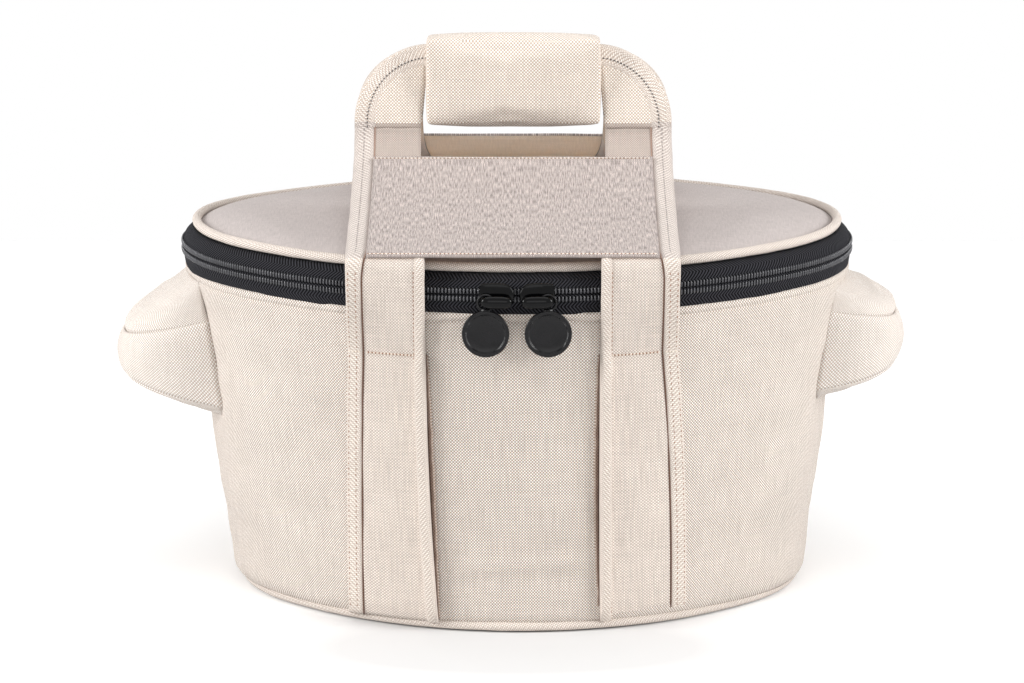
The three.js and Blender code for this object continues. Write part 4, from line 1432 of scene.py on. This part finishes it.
# Each face takes its pattern from the plane that it lies nearest to
def map_by_facing(piece):
    pattern = piece.data.uv_layers.new(name="cloth")
    for face in piece.data.polygons:
        across = face.normal
        for index in face.loop_indices:
            place = piece.data.vertices[piece.data.loops[index].vertex_index].co
            if abs(across.x) > max(abs(across.y), abs(across.z)):
                pattern.data[index].uv = (place.y, place.z)
            elif abs(across.z) > abs(across.y):
                pattern.data[index].uv = (place.x, place.y)
            else:
                pattern.data[index].uv = (place.x, place.z)


pad_cloth = woven("grip_canvas", (255, 251, 244), (198, 174, 154), PAD_YARN)
for face, side in handles:
    pad_low, pad_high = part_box(f"{face}_grip_pad")
    pad_low = pad_low - Vector((0, 0, PAD_HANG[face]))
    pad_high = pad_high - PAD_TRIM[face]
    if side > 0:
        pad_low.y += PAD_BACK
    else:
        pad_high.y -= PAD_BACK
    size = pad_high - pad_low
    shape = bmesh.new()
    middle = (pad_low + pad_high) / 2 + Vector((HANDLE_SHIFT, 0, 0))
    box = Matrix.Translation(middle) @ Matrix.Diagonal((
        size.x - PAD_SQUEEZE, size.y - PAD_SQUEEZE, size.z - PAD_SQUEEZE, 1
    ))
    bmesh.ops.create_cube(shape, size=1, matrix=box)
    lengthwise = [edge for edge in shape.edges if abs((edge.verts[0].co - edge.verts[1].co).x) > 0.01]
    outer = [edge for edge in lengthwise if side * edge.verts[0].co.y > 0.012]
    round_edges(shape, outer, PAD_EDGE, segments=4)
    pad = make_piece(f"{face}_grip", shape, [pad_cloth])
    stuff(pad)
    map_by_facing(pad)
    pad.data.polygons.foreach_set("use_smooth", [True] * len(pad.data.polygons))
    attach(pad, f"{face}_handle")
    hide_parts(f"{face}_grip_pad")

for strip in ("front_hook_strip", "rear_loop_strip"):
    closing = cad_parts[strip]
    closing.data.materials.clear()
    closing.data.materials.append(plain_board(f"{strip}_nap", (52, 50, 50), 2200))


# Ears: two soft pockets of canvas on the ends of the bag, for the pot's own handles.
# Each is a band round the pocket with a roof and a floor gusset, sewn with tucked-in seams.
EAR_HALF_WIDTH = 0.045
EAR_CLOTH = 0.0016
EAR_TUCK = 0.0009
EAR_COLUMNS = 84
EAR_BAND_TOP = {"left": 0.1480, "right": 0.1535}
EAR_ROOF_TOP = {"left": 0.1690, "right": 0.1660}
EAR_REACH = {"left": 0.2098, "right": 0.2015}
EAR_TIP_TOP = {"left": 0.1365, "right": 0.1470}
EAR_TIP_FOOT = {"left": 0.1145, "right": 0.1205}
EAR_FOOT = {"left": 0.1010, "right": 0.1105}
EAR_BAND_CUT = (0.155, 0.036)
EAR_GUSSET_CUT = (0.140, 0.040)
EAR_STITCHES = 20
# The ears' canvas is painted paler than the wall's: painted light on their sideways faces
ear_canvas_painted_light = woven("ear_canvas_painted_light", (255, 252, 247), (202, 182, 167), CANVAS_YARN)


def wall_end(y, z):
    return END_CENTRE + math.sqrt((END_RADIUS - wall_inset(z)) ** 2 - y**2)


def ear_band(name, hand, u, v):
    turn = (u - 0.5) * math.pi
    reach = math.cos(turn) ** 0.8
    y = EAR_HALF_WIDTH * math.copysign(abs(math.sin(turn)) ** 0.8, turn)
    top = mix(EAR_BAND_TOP[name], EAR_TIP_TOP[name], reach)
    foot = mix(EAR_FOOT[name], EAR_TIP_FOOT[name], reach)
    z = mix(foot, top, v)
    tucked = EAR_TUCK * (math.exp(-v / 0.05) + math.exp(-(1 - v) / 0.05))
    soft = 0.0011 * noise.noise(Vector((5 * u, 70 * z, 11.3 * hand))) * ease(6 * min(u, 1 - u))
    swell = 0.0034 * math.sin(v * math.pi) ** 0.8 * reach - tucked + soft
    y *= 1 + swell / EAR_HALF_WIDTH
    start = wall_end(y, z) - 0.0015
    return Vector((hand * (mix(start, EAR_REACH[name], reach) + swell * reach), y, z))


def ear_gusset(name, hand, u, w, band_edge, up, seam_height):
    turn = (u - 0.5) * math.pi
    start = ear_band(name, hand, u, band_edge)
    inner = 0.92 * EAR_HALF_WIDTH * math.sin(turn)
    end = Vector((hand * (wall_end(inner, seam_height) - 0.0012), inner, seam_height))
    crown = 0.0048 * math.sin(math.pi * w**0.55) * (1 - w) ** 0.7 * math.cos(turn) ** 0.7
    tucked = EAR_TUCK * math.exp(-w / 0.06)
    soft = 0.0011 * noise.noise(Vector((6 * u, 5 * w, 17.1 * hand + up))) * math.sin(math.pi * w)
    return start.lerp(end, w) + Vector((0.7 * hand, 0, 0.7 * up)) * (crown - tucked + soft)


def ear_seam(name, hand, end):
    def at(share):
        z = mix(EAR_FOOT[name], EAR_BAND_TOP[name], share)
        y = end * mix(0.0436, 0.0428, share)
        return Vector((hand * (wall_end(abs(y), z) + 0.0008), y, z))

    def path(share):
        place = at(share)
        return place, at(share + 0.01) - at(share - 0.01), Vector((hand * 0.5, end, 0))

    return path


# Running length round a pocket's band at each column, so that the weave keeps its scale
def ear_runs(name, hand):
    points = [ear_band(name, hand, step / EAR_COLUMNS, 0.5) for step in range(EAR_COLUMNS + 1)]
    return np.cumsum([0.0] + [(b - a).length for a, b in zip(points, points[1:])])


for name, hand in hands:
    runs = ear_runs(name, hand)
    for part, lay, cut, outward in (
        ("band", lambda u, v: ear_band(name, hand, u, v), EAR_BAND_CUT, Vector((hand, 0, 0))),
        (
            "roof",
            lambda u, w: ear_gusset(name, hand, u, w, 1, 1, EAR_ROOF_TOP[name]),
            EAR_GUSSET_CUT,
            Vector((0.5 * hand, 0, 1)),
        ),
        (
            "floor",
            lambda u, w: ear_gusset(name, hand, u, w, 0, -0.6, EAR_FOOT[name] - 0.005),
            EAR_GUSSET_CUT,
            Vector((0.5 * hand, 0, -1)),
        ),
    ):
        shape = lay_cloth(EAR_COLUMNS, 26, lay, lambda u, v: (runs[round(EAR_COLUMNS * u)], cut[1] * v))
        face_outwards(shape, outward)
        ear = make_piece(
            f"{name}_ear_{part}_cloth",
            settle(shape),
            [ear_canvas_painted_light],
            body="bag",
            replaces=[f"{name}_ear_{part}"],
            thickness=EAR_CLOTH,
        )
    stitches = []
    for end in (-1, 1):
        stitches += sew(ear_seam(name, hand, end), EAR_STITCHES, STITCH_LENGTH)
    make_piece(
        f"{name}_ear_stitches", string_beads(stitches), [brown_thread_and_painted_shade], body="bag"
    )


# Sliders and pulls: black cast sliders that meet at the front, each with a bail and a hanging round tag.
# The tag is plain: a raised rim round a shallow dish, on a ring that swings on the bail.
zip_middle = (lower_high.z + upper_low.z) / 2
SLIDER_LENGTH = 0.0174
SLIDER_HEIGHT = 0.0116
SLIDER_PLATE = 0.0020
SLIDER_EDGE = 0.0007
SLIDER_TURN = (0.001 + SLIDER_LENGTH / 2) / FRONT_RADIUS
PLATE_BACK = 0.0026
BAIL_LENGTH = 0.0154
BAIL_HEIGHT = 0.0064
BAIL_DEPTH = 0.0036
BAIL_OUT = 0.0083
BAIL_LEVEL = zip_middle - 0.003
LEG_RADIUS = 0.0022
RING_RADIUS = 0.00385
RING_WIRE = 0.00072
DISC_RADIUS = 0.0117
DISC_DEPTH = 0.0024
DISC_STEPS = ((0.0018, 0), (0.0005, -0.0008), (0.004, -0.0003))
DISC_EDGE = 0.0006
PULL_OUT = 0.0055
NECK_SIZE = (0.0046, 0.0024, 0.0019)
UPRIGHT = Matrix.Rotation(math.pi / 2, 4, "X")


def sharp_edges(shape):
    return [edge for edge in shape.edges if edge.calc_face_angle(0) > math.radians(40)]


def only_verts(parts):
    return [part for part in parts if isinstance(part, bmesh.types.BMVert)]


# A slider lies along X in front of the rim's middle; its nose points to the other slider
def cast_slider(hand):
    slider = bmesh.new()
    plate = bmesh.ops.create_circle(slider, cap_ends=True, segments=32, radius=0.5)["verts"]
    for vert in plate:
        nose = ease(-hand * vert.co.x * 2)
        square = 0.5 / max(abs(vert.co.x), abs(vert.co.y))
        stretch = mix(square, 1.0, 0.25 + 0.75 * nose)
        vert.co.x *= stretch * SLIDER_LENGTH
        vert.co.y *= stretch * SLIDER_HEIGHT
    bmesh.ops.transform(slider, verts=plate, matrix=UPRIGHT)
    bmesh.ops.translate(slider, verts=plate, vec=(0, -RIM_HALF_DEPTH - PLATE_BACK, zip_middle))
    raised = only_verts(bmesh.ops.extrude_face_region(slider, geom=slider.faces[:])["geom"])
    bmesh.ops.translate(slider, verts=raised, vec=(0, -SLIDER_PLATE, 0))
    bmesh.ops.recalc_face_normals(slider, faces=slider.faces)
    round_edges(slider, sharp_edges(slider), SLIDER_EDGE)
    foot_out = -RIM_HALF_DEPTH - (PLATE_BACK + BAIL_OUT) / 2
    for end in (-1, 1):
        foot = (end * (BAIL_LENGTH / 2 - LEG_RADIUS), foot_out, BAIL_LEVEL)
        bmesh.ops.create_cone(
            slider, cap_ends=True, segments=20, radius1=LEG_RADIUS * 1.05, radius2=LEG_RADIUS * 0.9,
            depth=BAIL_OUT - PLATE_BACK, matrix=Matrix.Translation(foot) @ UPRIGHT,
        )
    middle = Vector((0, -RIM_HALF_DEPTH - BAIL_OUT, BAIL_LEVEL))
    bar = Matrix.Translation(middle) @ Matrix.Rotation(math.pi / 2, 4, "Y")
    made = bmesh.ops.create_uvsphere(slider, u_segments=24, v_segments=18, radius=0.5, matrix=bar)["verts"]
    for vert in made:
        way = vert.co - middle
        long = math.copysign(abs(2 * way.x) ** 0.55, way.x) / 2
        girth = Vector((0, way.y, way.z))
        if girth.length > 1e-6:
            girth = girth.normalized() * 0.5 * (1 - abs(2 * long) ** 3.2) ** 0.45
        vert.co = middle + Vector((long * BAIL_LENGTH, girth.y * BAIL_DEPTH, girth.z * BAIL_HEIGHT))
    return slider


def cast_pull():
    pull = bmesh.new()
    ring_height = BAIL_LEVEL - 0.0007
    disc_height = ring_height - RING_RADIUS - DISC_RADIUS - 0.0002
    wire = bmesh.ops.create_circle(pull, segments=12, radius=RING_WIRE)["verts"]
    bmesh.ops.transform(pull, verts=wire, matrix=UPRIGHT)
    bmesh.ops.translate(pull, verts=wire, vec=(RING_RADIUS, 0, 0))
    bmesh.ops.spin(
        pull, geom=[*wire, *pull.edges], cent=(0, 0, 0), axis=(0, 0, 1), angle=2 * math.pi, steps=40,
        use_merge=True,
    )
    bmesh.ops.translate(pull, verts=pull.verts, vec=(0, ring_height, 0))
    disc = bmesh.new()
    edge = bmesh.ops.create_circle(disc, cap_ends=True, segments=64, radius=DISC_RADIUS)["verts"]
    bmesh.ops.translate(disc, verts=edge, vec=(0, 0, -DISC_DEPTH / 2))
    grown = bmesh.ops.extrude_face_region(disc, geom=disc.faces[:])["geom"]
    top = [part for part in grown if isinstance(part, bmesh.types.BMFace)]
    bmesh.ops.translate(disc, verts=only_verts(grown), vec=(0, 0, DISC_DEPTH))
    for width, depth in DISC_STEPS:
        bmesh.ops.inset_region(disc, faces=top, thickness=width, depth=depth)
    bmesh.ops.recalc_face_normals(disc, faces=disc.faces)
    round_edges(disc, sharp_edges(disc), DISC_EDGE)
    bmesh.ops.translate(disc, verts=disc.verts, vec=(0, disc_height, 0))
    corners = len(disc.verts)
    seat = Matrix.Translation((0, ring_height - RING_RADIUS - 0.0003, 0))
    bmesh.ops.create_cube(disc, size=1, matrix=seat @ Matrix.Diagonal((*NECK_SIZE, 1)))
    disc.verts.ensure_lookup_table()
    # The last corners in the list lie on the slope of the dish, beside the neck
    slope_edges = {edge for vert in disc.verts[corners:] for edge in vert.link_edges}
    round_edges(disc, list(slope_edges), DISC_EDGE, clamp=False)
    add_shape(pull, disc)
    hung = Matrix.Translation((0, -RIM_HALF_DEPTH - PULL_OUT, 0)) @ UPRIGHT
    bmesh.ops.transform(pull, matrix=hung, verts=pull.verts)
    bmesh.ops.recalc_face_normals(pull, faces=pull.faces)
    return pull


satin_black = moulded("satin_black", (14, 13, 15), 0.2, 0.3, 0.24, relief=0.04)
for name, hand in hands:
    seat = (
        Matrix.Translation((0, FRONT_CENTRE, 0))
        @ Matrix.Rotation(hand * SLIDER_TURN, 4, "Z")
        @ Matrix.Translation((0, -FRONT_CENTRE, 0))
    )
    slider = cast_slider(hand)
    bmesh.ops.transform(slider, matrix=seat, verts=slider.verts)
    make_piece(
        f"{name}_slider_casting",
        slider,
        [blackened_metal],
        body=f"{name}_slider",
        replaces=[f"{name}_zip_slider"],
    )
    pull = cast_pull()
    hung = seat @ Matrix.Translation((hand * (BAIL_LENGTH / 2 - LEG_RADIUS), 0, 0))
    bmesh.ops.transform(pull, matrix=hung, verts=pull.verts)
    make_piece(
        f"{name}_round_pull",
        pull,
        [satin_black],
        body=f"{name}_pull",
        replaces=[f"{name}_zip_pull"],
    )
